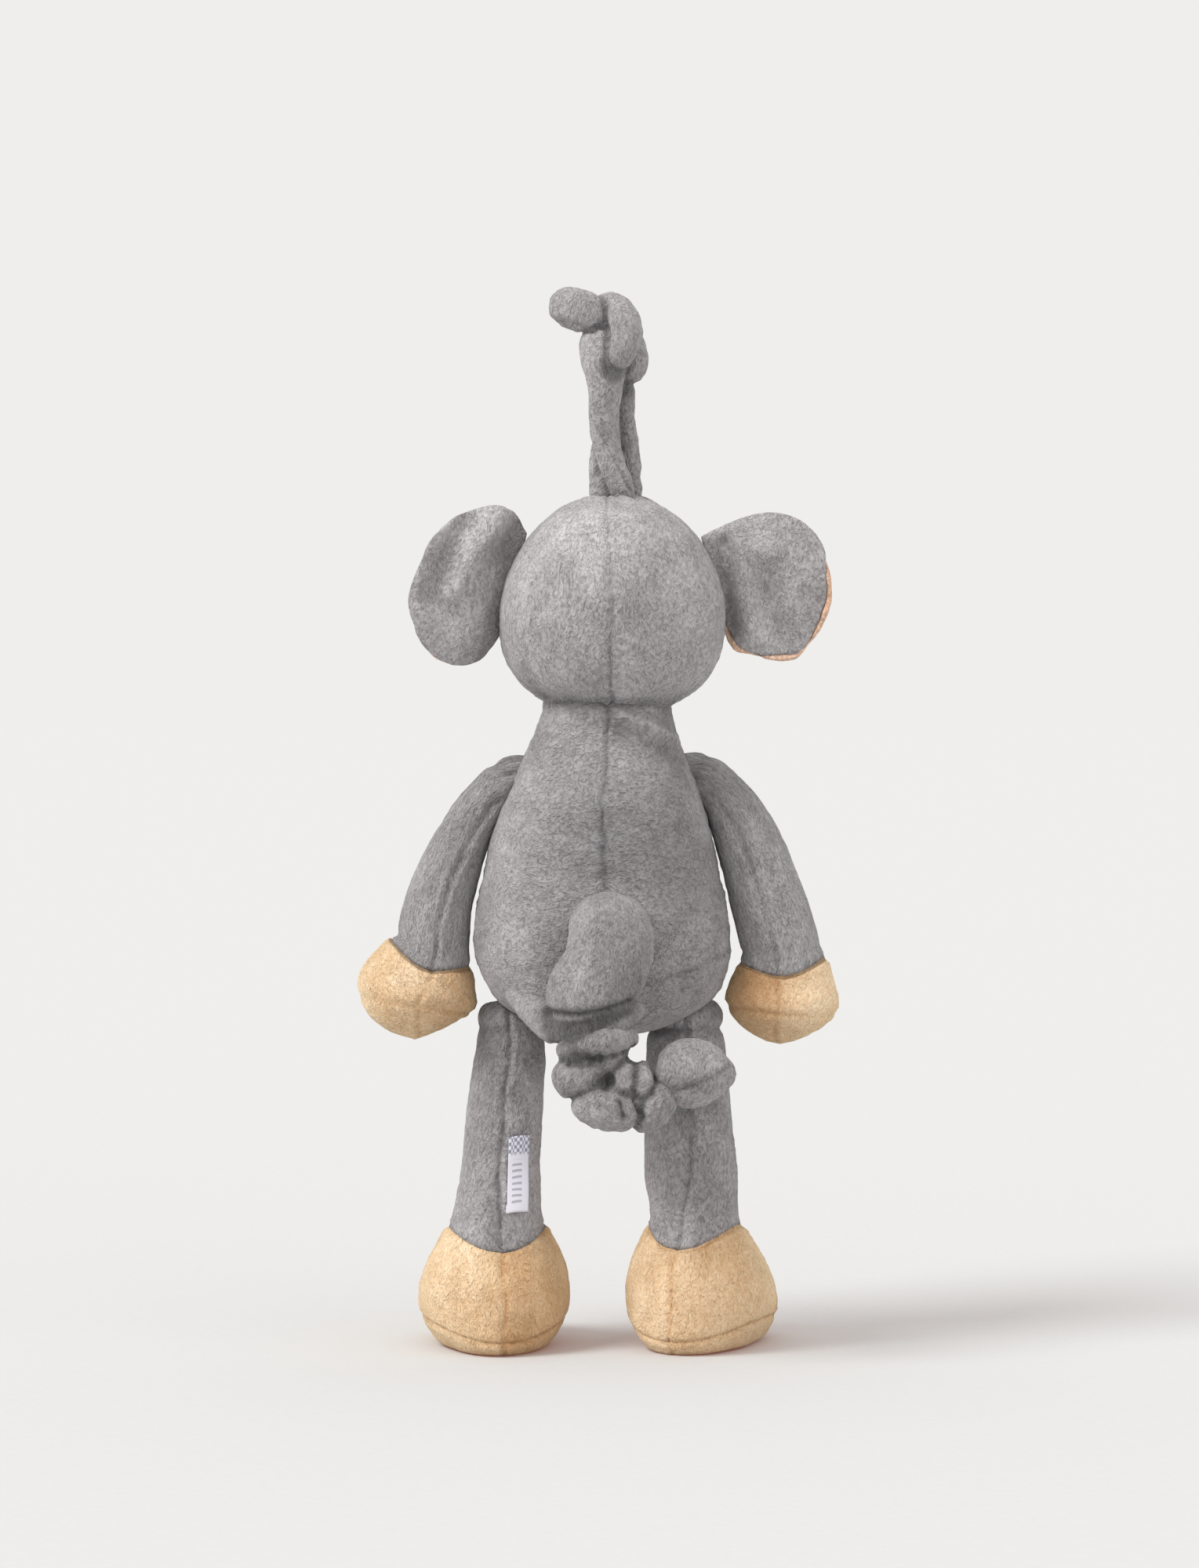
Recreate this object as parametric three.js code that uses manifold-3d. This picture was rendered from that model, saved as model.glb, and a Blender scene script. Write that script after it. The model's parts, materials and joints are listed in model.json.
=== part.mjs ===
// A stuffed musical monkey, about 34 cm from the soles to the top of its hanging loop.
// Millimetres, +Z up. The monkey faces +Y. The origin is the middle of the base of its bounding box.
import * as THREE from "three";
import { mergeVertices } from "three/addons/utils/BufferGeometryUtils.js";
import Module from "manifold-3d";

const wasm = await Module();
wasm.setup();

// ---------------------------------------------------------------- driving dimensions

const SPINE = [2.2, 6.4]; // where the spine stands: the tail and the toes reach out unequally from it
const PLUSH = 0.9; // thickness of the plush skin, its pile pressed flat
const STUFFED = PLUSH + 0.35; // how far a filling stays inside the outer face of its skin
const SEAM = 0.4; // clearance left between pieces that are sewn or stuffed together
const SIDES = 16; // sides of a soft body's section
const LIMB_SIDES = 12; // sides of a limb's section
const JOINT_GAP = 0.6; // clearance of a moving piece

const NECK = [0.9, 0, 203];
const NECK_POCKET = 21; // radius of the hollow under the head that the neck fills
const HEAD_X = 2.6; // the head leans a little to its left
const HEAD_RIM = 208.6; // lowest edge of the head's shell
const TORSO_X = -0.8;

// Rows of a soft body: height, half width, half depth, and how far forward and sideways its middle is.
const TORSO_ROWS = [
  [100.5, 6, 5, 0, -0.8],
  [101.6, 15, 12, 0, -0.8],
  [104.5, 24, 19, 0.5, -0.8],
  [109, 31.5, 24, 1, -0.8],
  [116, 37, 27.5, 1.5, -0.8],
  [124, 39.8, 29.5, 2, -0.8],
  [133, 40.5, 30, 2, -0.8],
  [143, 39.8, 29.5, 2, -0.8],
  [155, 37.5, 28, 1.5, -0.7],
  [168, 34.2, 25.8, 1, -0.5],
  [180, 29.6, 23.4, 0.5, 0],
  [190, 25.4, 21, 0, 0.5],
  [198, 22, 19.2, 0, 0.8],
  [203, 20.2, 18.5, 0, 0.9],
  [209, 19, 17.2, 0, 0.9],
  [215, 15.6, 14.2, 0, 0.9],
  [219.5, 10.5, 9.5, 0, 0.9],
  [222, 4, 3.6, 0, 0.9],
];
const HEAD_ROWS = [
  [204, 14, 12, 0, HEAD_X],
  [206, 20, 18, 0.4, HEAD_X],
  [211, 27.4, 24, 0.8, HEAD_X],
  [216, 31.6, 27.8, 1, HEAD_X],
  [222, 34.5, 30.4, 1, HEAD_X],
  [229, 35.8, 31.6, 1, HEAD_X],
  [236, 35.8, 31.6, 1, HEAD_X],
  [243, 34.6, 30.6, 1, HEAD_X],
  [250, 32.2, 28.6, 0.6, HEAD_X],
  [257, 28.6, 25.6, 0, HEAD_X],
  [263, 23.6, 21.4, -0.4, HEAD_X],
  [268, 17.2, 15.8, -0.6, HEAD_X],
  [271.4, 10, 9.4, -0.6, HEAD_X],
  [272.8, 3.4, 3.2, -0.6, HEAD_X],
];
const TORSO_SEAM_Y = 2; // the torso's side seam
const SEAT_Z = 117; // the seam over the seat panel
const SKIN_TOP = 213; // the torso's skin ends inside the head
const HEAD_SEAM_Y = 5; // the side seam, which the ears are sewn into

const MUZZLE = { at: [HEAD_X, 29, 221.5], radii: [19.5, 15.5, 14] };
const EYE = { apart: 10.5, z: 241.5, radii: [3.1, 3.9] };
const NOSE = { z: 229.5, radii: [4.4, 2.6] };

// Limbs: points of the middle line and the radius there, from the body outwards.
const SHOULDER = { y: 5, z: 183, facet: 26, room: 9.3 };
const ARMS = {
  left: {
    side: -1,
    sleeve: [
      [-27.4, 5, 182.8, 6.6],
      [-32.6, 5, 182.4, 7.4],
      [-38.2, 5, 178.6, 7.9],
      [-42.5, 5, 171, 8.2],
      [-45.9, 5, 162, 9],
      [-49.6, 5, 153, 10],
      [-52.8, 5, 144, 10.7],
      [-54.6, 5, 135, 11.6],
      [-55.6, 5, 128, 12],
      [-57.6, 5, 120, 11],
    ],
    hand: [
      [-55, 5, 131.5, 11.2],
      [-55.6, 5, 127.4, 12.2],
      [-58, 5, 120.5, 17],
      [-60, 5, 113.5, 19.8],
      [-61, 5, 107.5, 18.6],
      [-61.3, 5, 102.5, 14.4],
      [-61.4, 5, 99.4, 8],
    ],
  },
  right: {
    side: 1,
    sleeve: [
      [25.8, 5, 183.2, 6.6],
      [33, 5, 182.8, 7.4],
      [38.8, 5, 179.4, 7.6],
      [42.9, 5, 171.5, 8.3],
      [47.4, 5, 160.5, 9.3],
      [50.6, 5, 150.5, 10.6],
      [53.4, 5, 141, 11.6],
      [55.8, 5, 131, 12.2],
      [56.8, 5, 125, 12.2],
      [57.2, 5, 117, 11],
    ],
    hand: [
      [56.2, 5, 128.5, 11.4],
      [56.8, 5, 124.4, 12.4],
      [57.2, 5, 118, 16.4],
      [57, 5, 110.5, 18.7],
      [56.6, 5, 104.5, 17.8],
      [56.4, 5, 100, 13.6],
      [56.4, 5, 97.4, 7],
    ],
  },
};
const HAND_DEPTH = 0.84; // a hand's depth as a share of its width

const LEGS = {
  left: {
    hip: [-30.2, 8, 100],
    ankle: [-34.4, 1.5, 41],
    yaw: 7, // degrees that the toes point outwards
    radii: [11.2, 11.5, 11.8, 12.6, 14.2],
    depth: 1.08,
    foot: 1,
  },
  right: {
    hip: [26.2, 8, 100],
    ankle: [28.2, 1.5, 41],
    yaw: -22,
    radii: [11.8, 13.4, 14, 14.4, 15],
    depth: 0.94,
    foot: 0.965,
  },
};
const FOOT_ROWS = [
  [0, 15.5, 23.5, 9],
  [1.4, 19.6, 27.8, 9],
  [6, 22.6, 30.6, 9],
  [13, 24, 31.4, 8.6],
  [20, 23.6, 29.6, 7.2],
  [28, 21.2, 25, 4.8],
  [35, 17.6, 19.4, 2.2],
  [40.6, 14.4, 15, 0.2],
];
const SOLE_TOP = 5.6; // height of the seam between a foot's sides and its sole
const HIP_SWING = [-24, 60]; // degrees back and forward that the thighs need room for

const TAIL_HINGE = [0.6, -28.4, 148.1];
const TAIL_BASE_LINE = [
  [0.6, -24, 136.4, 9.4],
  [0.5, -31, 137.1, 10.5],
  [0.4, -37.6, 136.3, 11.7],
  [-0.6, -43, 131.7, 12.2],
  [-2.6, -45, 125, 12.4],
  [-5.1, -44.6, 117.6, 12.7],
  [-7, -43.4, 112.2, 11],
];
const TAIL_GATHER_LINE = [
  [-7.2, -42.6, 109],
  [-5.7, -42, 102.6],
  [-3.3, -41.6, 96.2],
  [0.5, -41.4, 90],
  [6.7, -41.2, 86.1],
  [13.1, -41.2, 86.9],
  [17, -41.2, 88.6],
];
const TAIL_GATHER = { crest: 11.8, trough: 8.3, end: 7.2, folds: 6, bore: 2.4 };
const TAIL_TIP_LINE = [
  [18, -41.2, 89.2, 6.2],
  [20.7, -41.2, 90, 8.7],
  [24.5, -41.2, 90.9, 10.5],
  [29, -41.2, 91.6, 10.5],
  [33.8, -41.2, 91.7, 8.7],
  [37.9, -41.2, 91.5, 6.2],
  [40, -41.2, 91.4, 3.9],
];
const CORD_END = [20.4, -41.2, 90];
const CORD_RADIUS = 0.9;

// The hanging loop: two strands from the crown up to a knot, with the loose end over it.
const LOOP = { x: 3, y: -0.6, base: 278.8, baseRadius: 5.4, width: 13, strand: 4.6, apart: 10.4, knotZ: 318 };

const LABEL = { width: 7.4, height: 24, thickness: 0.9, at: [-27.6, -9.8, 56.6], tilt: -9, turn: 18 };

// The musical movement in the belly: a flat round case, with all of its axles upright.
const MOVEMENT = { at: [-0.8, 5, 134], radius: 20.5, height: 19, wall: 1.4, screws: [100, 225, 5] };
const CORD_Z = 134; // height at which the cord leaves the case
const AXLE = { radius: 0.8, bore: 1.15 };
const GEAR_MODULE = 0.8;
const SPOOL = { at: [-7.3, 5], teeth: 24, drum: 7, flange: 8 };
const DRUM = { at: [5.5, 5], teeth: 8, radius: 3.2, wheelTeeth: 16 };
const GOVERNOR = { bearing: -50, teeth: 8, fan: 3.4 };

// ---------------------------------------------------------------- materials

const material = (color, roughness, metalness = 0) =>
  new THREE.MeshStandardMaterial({ color, roughness, metalness });
const GREY_PLUSH = material(0x9a9594, 0.95);
const TAN_PLUSH = material(0xdcb88c, 0.95);
const PEACH_PLUSH = material(0xeac3a8, 0.95);
const FILLING = material(0xf2f0ea, 1);
const THREAD = material(0x2e2622, 0.7);
const LABEL_SATIN = material(0xdcdce8, 0.5);
const CORD = material(0xe6e2d8, 0.8);
const PLASTIC = material(0xe8e6df, 0.45);
const STEEL = material(0xb9bcc0, 0.3, 1);
const BRASS = material(0xc9a75a, 0.35, 1);

// ---------------------------------------------------------------- solids from three.js geometry

const UP = new THREE.Vector3(0, 0, 1);

// A closed three.js geometry as a manifold solid.
function solid(geometry) {
  const bare = geometry.index ? geometry.toNonIndexed() : geometry.clone();
  bare.deleteAttribute("normal");
  bare.deleteAttribute("uv");
  const merged = mergeVertices(bare, 1e-4);
  return new wasm.Manifold(
    new wasm.Mesh({
      numProp: 3,
      vertProperties: merged.getAttribute("position").array,
      triVerts: new Uint32Array(merged.index.array),
    }),
  );
}

// A manifold solid as a three.js geometry.
function geometryOf(made) {
  const mesh = made.getMesh();
  const points = new Float32Array(mesh.numVert * 3);
  for (let i = 0; i < mesh.numVert; i++) {
    points.set(mesh.vertProperties.subarray(i * mesh.numProp, i * mesh.numProp + 3), i * 3);
  }
  return new THREE.BufferGeometry()
    .setAttribute("position", new THREE.BufferAttribute(points, 3))
    .setIndex(new THREE.BufferAttribute(mesh.triVerts, 1));
}

// A closed skin over rings of points, with a flat fan at each end.
function skinOver(rings) {
  const sides = rings[0].length;
  const centre = (ring) =>
    ring.reduce((sum, p) => sum.add(p), new THREE.Vector3()).divideScalar(sides);
  const points = [...rings.flat(), centre(rings[0]), centre(rings.at(-1))];
  const faces = [];
  for (let r = 0; r + 1 < rings.length; r++) {
    for (let s = 0; s < sides; s++) {
      const a = r * sides + s;
      const b = r * sides + ((s + 1) % sides);
      faces.push(a, b, b + sides, a, b + sides, a + sides);
    }
  }
  const last = (rings.length - 1) * sides;
  for (let s = 0; s < sides; s++) {
    const next = (s + 1) % sides;
    faces.push(points.length - 2, next, s);
    faces.push(points.length - 1, last + s, last + next);
  }
  const made = new THREE.BufferGeometry().setFromPoints(points);
  made.setIndex(faces);
  const built = solid(made);
  if (built.volume() > 0) return built;
  for (let i = 0; i < faces.length; i += 3) faces.splice(i, 3, faces[i], faces[i + 2], faces[i + 1]);
  made.setIndex(faces);
  return solid(made);
}

// A soft body from level rows, made smaller all round by an inset.
function rowBody(rows, inset = 0) {
  const low = rows[0][0];
  const high = rows.at(-1)[0];
  const middle = (low + high) / 2;
  const shrink = 1 - (2 * inset) / (high - low);
  return skinOver(
    rows.map(([z, halfWidth, halfDepth, y, x]) =>
      around(SIDES, (c, s) => [
        x + Math.max(halfWidth - inset, 1) * c,
        y + Math.max(halfDepth - inset, 1) * s,
        middle + (z - middle) * shrink,
      ]),
    ),
  );
}

// Points at equal steps round a circle, each from its cosine and sine.
function around(count, place) {
  return Array.from({ length: count }, (_, i) => {
    const turn = (2 * Math.PI * i) / count;
    return new THREE.Vector3(...place(Math.cos(turn), Math.sin(turn)));
  });
}

// A soft tube along a line of [x, y, z, radius] points. depth scales its section from front to back,
// and an inset draws in the sides and whichever ends are closed.
function softTube(line, { steps = 9, inset = 0, depth = 1, sides = LIMB_SIDES, closed = [1, 1] } = {}) {
  const curve = new THREE.CatmullRomCurve3(line.map(([x, y, z]) => new THREE.Vector3(x, y, z)));
  const radii = new THREE.SplineCurve(line.map((p, i) => new THREE.Vector2(i, p[3])));
  const startsLevel = Math.abs(curve.getTangent(0).y) > 0.8;
  const v = new THREE.Vector3(0, startsLevel ? 0 : 1, startsLevel ? 1 : 0);
  const rings = [];
  const drawnIn = closed.map((amount) => Math.max((amount * inset) / curve.getLength(), 0));
  const [from, to] = [drawnIn[0], 1 - drawnIn[1]].map((u) => curve.getUtoTmapping(u));
  for (let i = 0; i <= steps; i++) {
    const t = THREE.MathUtils.lerp(from, to, i / steps);
    const tangent = curve.getTangent(t);
    const at = curve.getPoint(t);
    const radius = Math.max(radii.getPoint(t).y - inset, 0.4);
    v.addScaledVector(tangent, -v.dot(tangent)).normalize();
    const u = new THREE.Vector3().crossVectors(v, tangent).normalize();
    rings.push(
      around(sides, (c, s) =>
        at.clone().addScaledVector(u, radius * c).addScaledVector(v, radius * depth * s).toArray(),
      ),
    );
  }
  return skinOver(rings);
}

function ellipsoid([x, y, z], [rx, ry, rz], sides = SIDES, rows = 10) {
  const ball = new THREE.SphereGeometry(1, sides, rows);
  return solid(ball.scale(rx, ry, rz).translate(x, y, z));
}

// Everything on the side of a plane that its normal points to.
function halfSpace(point, normal) {
  const size = 600;
  const box = new THREE.BoxGeometry(size, size, size).translate(0, 0, size / 2);
  const turn = new THREE.Quaternion().setFromUnitVectors(UP, new THREE.Vector3(...normal).normalize());
  return solid(box.applyQuaternion(turn).translate(...point));
}

// The two sides of a seam's plane, a seam's width apart: behind the normal, and ahead of it.
function bothSides(point, normal) {
  const shifted = (by) => point.clone().addScaledVector(normal, by).toArray();
  return [
    halfSpace(shifted(-SEAM / 2), normal.clone().negate().toArray()),
    halfSpace(shifted(SEAM / 2), normal.toArray()),
  ];
}

function cylinder(radius, low, high, x, y, sides = 22) {
  const rod = new THREE.CylinderGeometry(radius, radius, high - low, sides).rotateX(Math.PI / 2);
  return solid(rod.translate(x, y, (low + high) / 2));
}

// A flat outline in the X-Z plane, made solid from one depth to another.
function outlineAlongY(shape, from, to) {
  const slab = new THREE.ExtrudeGeometry(shape, {
    depth: to - from,
    bevelEnabled: false,
    curveSegments: 2,
  });
  return solid(slab.rotateX(Math.PI / 2).translate(0, to, 0));
}

// The room a limb sweeps as it swings about a crosswise axle: a fan in the Y-Z plane.
function swingFan([x, y, z], radius, reach, [from, to], halfWidth) {
  const fan = new THREE.Shape();
  const down = -Math.PI / 2;
  const back = down + THREE.MathUtils.degToRad(from);
  const front = down + THREE.MathUtils.degToRad(to);
  const tip = (angle, side) => [
    reach * Math.cos(angle) - side * radius * Math.sin(angle),
    reach * Math.sin(angle) + side * radius * Math.cos(angle),
  ];
  fan.moveTo(...tip(back, -1));
  fan.lineTo(...tip(front, 1));
  fan.absarc(0, 0, radius, front + Math.PI / 2, back - Math.PI / 2 + 2 * Math.PI, false);
  fan.closePath();
  const slab = new THREE.ExtrudeGeometry(fan, {
    depth: 2 * halfWidth,
    bevelEnabled: false,
    curveSegments: 12,
  });
  // The shape's x runs along Y and its y along Z, and the slab's thickness along X.
  const stand = new THREE.Matrix4().makeBasis(
    new THREE.Vector3(0, 1, 0),
    new THREE.Vector3(0, 0, 1),
    new THREE.Vector3(1, 0, 0),
  );
  return solid(slab.applyMatrix4(stand).translate(x - halfWidth, y, z));
}

// ---------------------------------------------------------------- the scene graph

const monkey = new THREE.Group();
monkey.position.set(SPINE[0], SPINE[1], 0);

// A group that stands at a joint, so that turning it moves the body that hangs there.
function bodyAt(parent, pivot) {
  const group = new THREE.Group();
  group.userData.pivot = new THREE.Vector3(...pivot);
  group.position.copy(group.userData.pivot).sub(parent.userData.pivot ?? new THREE.Vector3());
  parent.add(group);
  return group;
}

function addNode(group, name, made, look, tolerance = 0.2) {
  const whole = biggest(made.simplify(tolerance));
  const geometry = geometryOf(whole);
  const pivot = group.userData.pivot ?? new THREE.Vector3();
  geometry.translate(-pivot.x, -pivot.y, -pivot.z);
  const mesh = new THREE.Mesh(geometry, look);
  mesh.name = name;
  group.add(mesh);
  return mesh;
}

// ---------------------------------------------------------------- torso

// The largest body of a solid that a cut may have left in several.
function biggest(made) {
  return made.decompose().sort((a, b) => b.volume() - a.volume())[0];
}

function cutAwayFrom(body, rooms) {
  return rooms.reduce((rest, room) => rest.subtract(room), body);
}

// The hollows in the torso that the thighs and the ends of the arms turn in.
function limbRooms() {
  const thighs = Object.values(LEGS).map(({ hip, radii }) => {
    const radius = radii[0] + JOINT_GAP;
    return swingFan(hip, radius, 60, HIP_SWING, Math.max(...radii) + JOINT_GAP);
  });
  const shoulders = [-1, 1].map((side) => {
    const rod = new THREE.CylinderGeometry(SHOULDER.room, SHOULDER.room, 20, 24);
    rod.rotateZ(Math.PI / 2).translate(TORSO_X + side * (SHOULDER.facet + 10), SHOULDER.y, SHOULDER.z);
    return solid(rod);
  });
  return [...thighs, ...shoulders];
}

function buildTorso() {
  const group = bodyAt(monkey, [0, 0, 0]);
  const rooms = limbRooms();
  const { at, radius, height } = MOVEMENT;
  const channel = new THREE.CylinderGeometry(2.4, 2.4, 40, 12).translate(TAIL_HINGE[0], -25, CORD_Z);
  const cordRoom = solid(channel);
  const outer = cutAwayFrom(rowBody(TORSO_ROWS), rooms);
  const below = halfSpace([0, 0, SKIN_TOP], [0, 0, -1]);
  const skin = outer.subtract(rowBody(TORSO_ROWS, PLUSH)).intersect(below).subtract(cordRoom);
  const back = halfSpace([0, TORSO_SEAM_Y - SEAM / 2, 0], [0, -1, 0]);
  const front = halfSpace([0, TORSO_SEAM_Y + SEAM / 2, 0], [0, 1, 0]);
  const overSeat = halfSpace([0, 0, SEAT_Z + SEAM / 2], [0, -0.12, 1]);
  const seat = halfSpace([0, 0, SEAT_Z - SEAM / 2], [0, 0.12, -1]);
  const left = halfSpace([TORSO_X - SEAM / 2, 0, 0], [-1, 0, 0]);
  const right = halfSpace([TORSO_X + SEAM / 2, 0, 0], [1, 0, 0]);
  const upperBack = skin.intersect(back).intersect(overSeat);
  addNode(group, "torso_back_left_panel", upperBack.intersect(left), GREY_PLUSH);
  addNode(group, "torso_back_right_panel", upperBack.intersect(right), GREY_PLUSH);
  addNode(group, "torso_front_panel", skin.intersect(front).intersect(overSeat), GREY_PLUSH);
  addNode(group, "torso_seat_panel", skin.intersect(seat), GREY_PLUSH);
  const [low, high] = [at[2] - height / 2 - SEAM, at[2] + height / 2 + SEAM];
  const nest = cylinder(radius + SEAM, low, high, at[0], at[1], 24);
  const filling = cutAwayFrom(rowBody(TORSO_ROWS, STUFFED), [...rooms, nest, cordRoom]);
  addNode(group, "torso_filling", filling, FILLING);
  return group;
}

// ---------------------------------------------------------------- head, face and ears

function faceOutline(grow = 0) {
  // Two round brows over a wide jowl.
  const outline = new THREE.Shape();
  const points = [
    [0, 249.5],
    [-7, 254],
    [-15, 253.5],
    [-21.5, 248],
    [-22.5, 240],
    [-20.5, 233.5],
    [-24, 226],
    [-23.5, 217],
    [-17.5, 210.8],
    [-8, 209.6],
  ];
  const mirrored = points.slice(1).map(([x, z]) => [-x, z]);
  const ring = [...points, [0, 209.4], ...mirrored.reverse()];
  const middle = new THREE.Vector2(0, 231);
  const grown = ring.map(([x, z]) => {
    const p = new THREE.Vector2(x, z).sub(middle);
    return p.setLength(p.length() + grow).add(middle).add(new THREE.Vector2(HEAD_X, 0));
  });
  outline.moveTo(grown[0].x, grown[0].y);
  outline.splineThru([...grown.slice(1), grown[0]]);
  return outline;
}

// The ellipsoid's front surface above a point of the face.
function onMuzzle(x, z, lift = 0) {
  const [cx, cy, cz] = MUZZLE.at;
  const [rx, ry, rz] = MUZZLE.radii;
  const left = 1 - ((x - cx) / rx) ** 2 - ((z - cz) / rz) ** 2;
  return cy + ry * Math.sqrt(Math.max(left, 0.02)) + lift;
}

function buildHead(torso) {
  const group = bodyAt(torso, NECK);
  const pocket = ellipsoid(NECK, [NECK_POCKET, NECK_POCKET, NECK_POCKET]);
  const floor = halfSpace([0, 0, HEAD_RIM], [0, 0, 1]);
  const trim = (body) => body.intersect(floor).subtract(pocket);
  const outer = rowBody(HEAD_ROWS);
  const skin = trim(outer.subtract(rowBody(HEAD_ROWS, PLUSH)));
  const back = halfSpace([0, HEAD_SEAM_Y - SEAM / 2, 0], [0, -1, 0]);
  const front = halfSpace([0, HEAD_SEAM_Y + SEAM / 2, 0], [0, 1, 0]);
  const leftHalf = halfSpace([HEAD_X - SEAM / 2, 0, 0], [-1, 0, 0]);
  const rightHalf = halfSpace([HEAD_X + SEAM / 2, 0, 0], [1, 0, 0]);
  addNode(group, "head_back_left_panel", skin.intersect(back).intersect(leftHalf), GREY_PLUSH);
  addNode(group, "head_back_right_panel", skin.intersect(back).intersect(rightHalf), GREY_PLUSH);
  const face = skin.intersect(outlineAlongY(faceOutline(), 12, 60));
  const surround = skin.intersect(front).subtract(outlineAlongY(faceOutline(SEAM), 12, 60));
  addNode(group, "head_front_panel", surround, GREY_PLUSH);
  addNode(group, "face_panel", face, TAN_PLUSH);
  addNode(group, "head_filling", trim(rowBody(HEAD_ROWS, STUFFED)), FILLING);
  buildMuzzle(group);
  buildEyes(group);
  return group;
}

function buildMuzzle(group) {
  const { at, radii } = MUZZLE;
  const clear = rowBody(HEAD_ROWS, -SEAM);
  const shrunk = (by) => radii.map((r) => r - by);
  const outer = ellipsoid(at, radii, 18, 10);
  const above = halfSpace([0, 0, HEAD_RIM], [0, 0, 1]);
  const skin = outer.subtract(ellipsoid(at, shrunk(PLUSH), 18, 10)).subtract(clear).intersect(above);
  const filling = ellipsoid(at, shrunk(STUFFED), 18, 10).subtract(clear).intersect(above);
  addNode(group, "muzzle_panel", skin, TAN_PLUSH);
  addNode(group, "muzzle_filling", filling, FILLING);
  const guard = ellipsoid(at, shrunk(-0.3), 18, 10);
  const [noseWide, noseTall] = NOSE.radii;
  const noseAt = [at[0], onMuzzle(at[0], NOSE.z, -0.6), NOSE.z];
  const nose = ellipsoid(noseAt, [noseWide, 2.6, noseTall], 12, 6).subtract(guard);
  addNode(group, "nose_embroidery", nose, THREAD);
  const smile = new THREE.CatmullRomCurve3(
    [-11, -8, -4, 0, 4, 8, 11].map((x) => {
      const z = 213.6 + 0.03 * x * x;
      return new THREE.Vector3(at[0] + x, onMuzzle(at[0] + x, z, 1.1), z);
    }),
  );
  addNode(group, "mouth_stitching", roundRod(smile, 0.6, 16), THREAD);
}

// A round rod along a curve.
function roundRod(curve, radius, steps, sides = 8) {
  const section = new THREE.Shape(
    around(sides, (c, s) => [radius * c, radius * s, 0]).map((p) => new THREE.Vector2(p.x, p.y)),
  );
  return solid(
    new THREE.ExtrudeGeometry(section, { steps, bevelEnabled: false, extrudePath: curve }),
  );
}

function buildEyes(group) {
  const guard = rowBody(HEAD_ROWS, -0.3);
  for (const [name, side] of [["left_eye_embroidery", -1], ["right_eye_embroidery", 1]]) {
    const [wide, tall] = EYE.radii;
    const centre = [HEAD_X + side * EYE.apart, 29.2, EYE.z];
    const pad = ellipsoid(centre, [wide, 2.8, tall], 12, 6).subtract(guard);
    addNode(group, name, pad, THREAD);
  }
}

// An ear's outline, outwards from the middle of its root and upwards.
const EAR_OUTLINE = [
  [-1, 16],
  [4, 20.5],
  [12, 24.6],
  [21, 24.8],
  [29.5, 20],
  [34.6, 12],
  [36.6, 3],
  [35.4, -7],
  [30.4, -16.5],
  [22.5, -22.6],
  [13, -23.6],
  [5, -20.4],
  [-1, -16],
];
const EARS = {
  left: { side: -1, root: [[-24.5, 262], [-34, 230]], sweep: 26, size: [0.94, 1.02] },
  right: { side: 1, root: [[31, 260], [38.9, 228.5]], sweep: 8, size: [1, 0.96] },
};
const EAR_DOME = [[0, 1], [1.4, 0.98], [2.4, 0.9], [3, 0.66]]; // depth and size of each ring
const EAR_SWING = 25;

// The middle of an ear's root and the direction that its root line climbs in.
function earRoot(name) {
  const [top, bottom] = EARS[name].root.map(([x, z]) => new THREE.Vector3(x, HEAD_SEAM_Y, z));
  return {
    middle: top.clone().add(bottom).multiplyScalar(0.5),
    axis: top.clone().sub(bottom).normalize(),
  };
}

// A solid turned about an axle through a point.
function turnedAbout(made, point, axis, degrees) {
  const at = new THREE.Vector3(...point);
  const matrix = new THREE.Matrix4()
    .makeTranslation(at.x, at.y, at.z)
    .multiply(new THREE.Matrix4().makeRotationAxis(axis, THREE.MathUtils.degToRad(degrees)))
    .multiply(new THREE.Matrix4().makeTranslation(-at.x, -at.y, -at.z));
  return made.transform(matrix.toArray());
}

function buildEar(head, name) {
  const { side, sweep, size } = EARS[name];
  const { middle, axis } = earRoot(name);
  const group = bodyAt(head, middle.toArray());
  const curve = new THREE.SplineCurve(
    EAR_OUTLINE.map(([u, v]) => new THREE.Vector2(u * size[0], v * size[1])),
  );
  const ring = curve.getPoints(22);
  const up = axis.clone();
  const back = new THREE.Vector3(0, -1, 0);
  const out = new THREE.Vector3(side, 0, 0).addScaledVector(up, -side * up.x).normalize();
  const layer = (facing) =>
    skinOver(
      EAR_DOME.map(([depth, scale]) =>
        ring.map((p) =>
          middle
            .clone()
            .addScaledVector(out, p.x * scale)
            .addScaledVector(up, p.y * scale)
            .addScaledVector(back, facing * (SEAM / 2 + depth)),
        ),
      ),
    );
  const grown = rowBody(HEAD_ROWS, -SEAM);
  const sweptHead = [-1, -0.5, 0, 0.5, 1].map((share) =>
    turnedAbout(grown, middle.toArray(), axis, side * sweep + share * EAR_SWING),
  );
  for (const [part, facing, look] of [["back_panel", 1, GREY_PLUSH], ["lining", -1, PEACH_PLUSH]]) {
    const flat = biggest(cutAwayFrom(layer(facing), sweptHead));
    const made = turnedAbout(flat, middle.toArray(), axis, -side * sweep);
    addNode(group, `${name}_ear_${part}`, made, look);
  }
}

// ---------------------------------------------------------------- arms and hands

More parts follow.
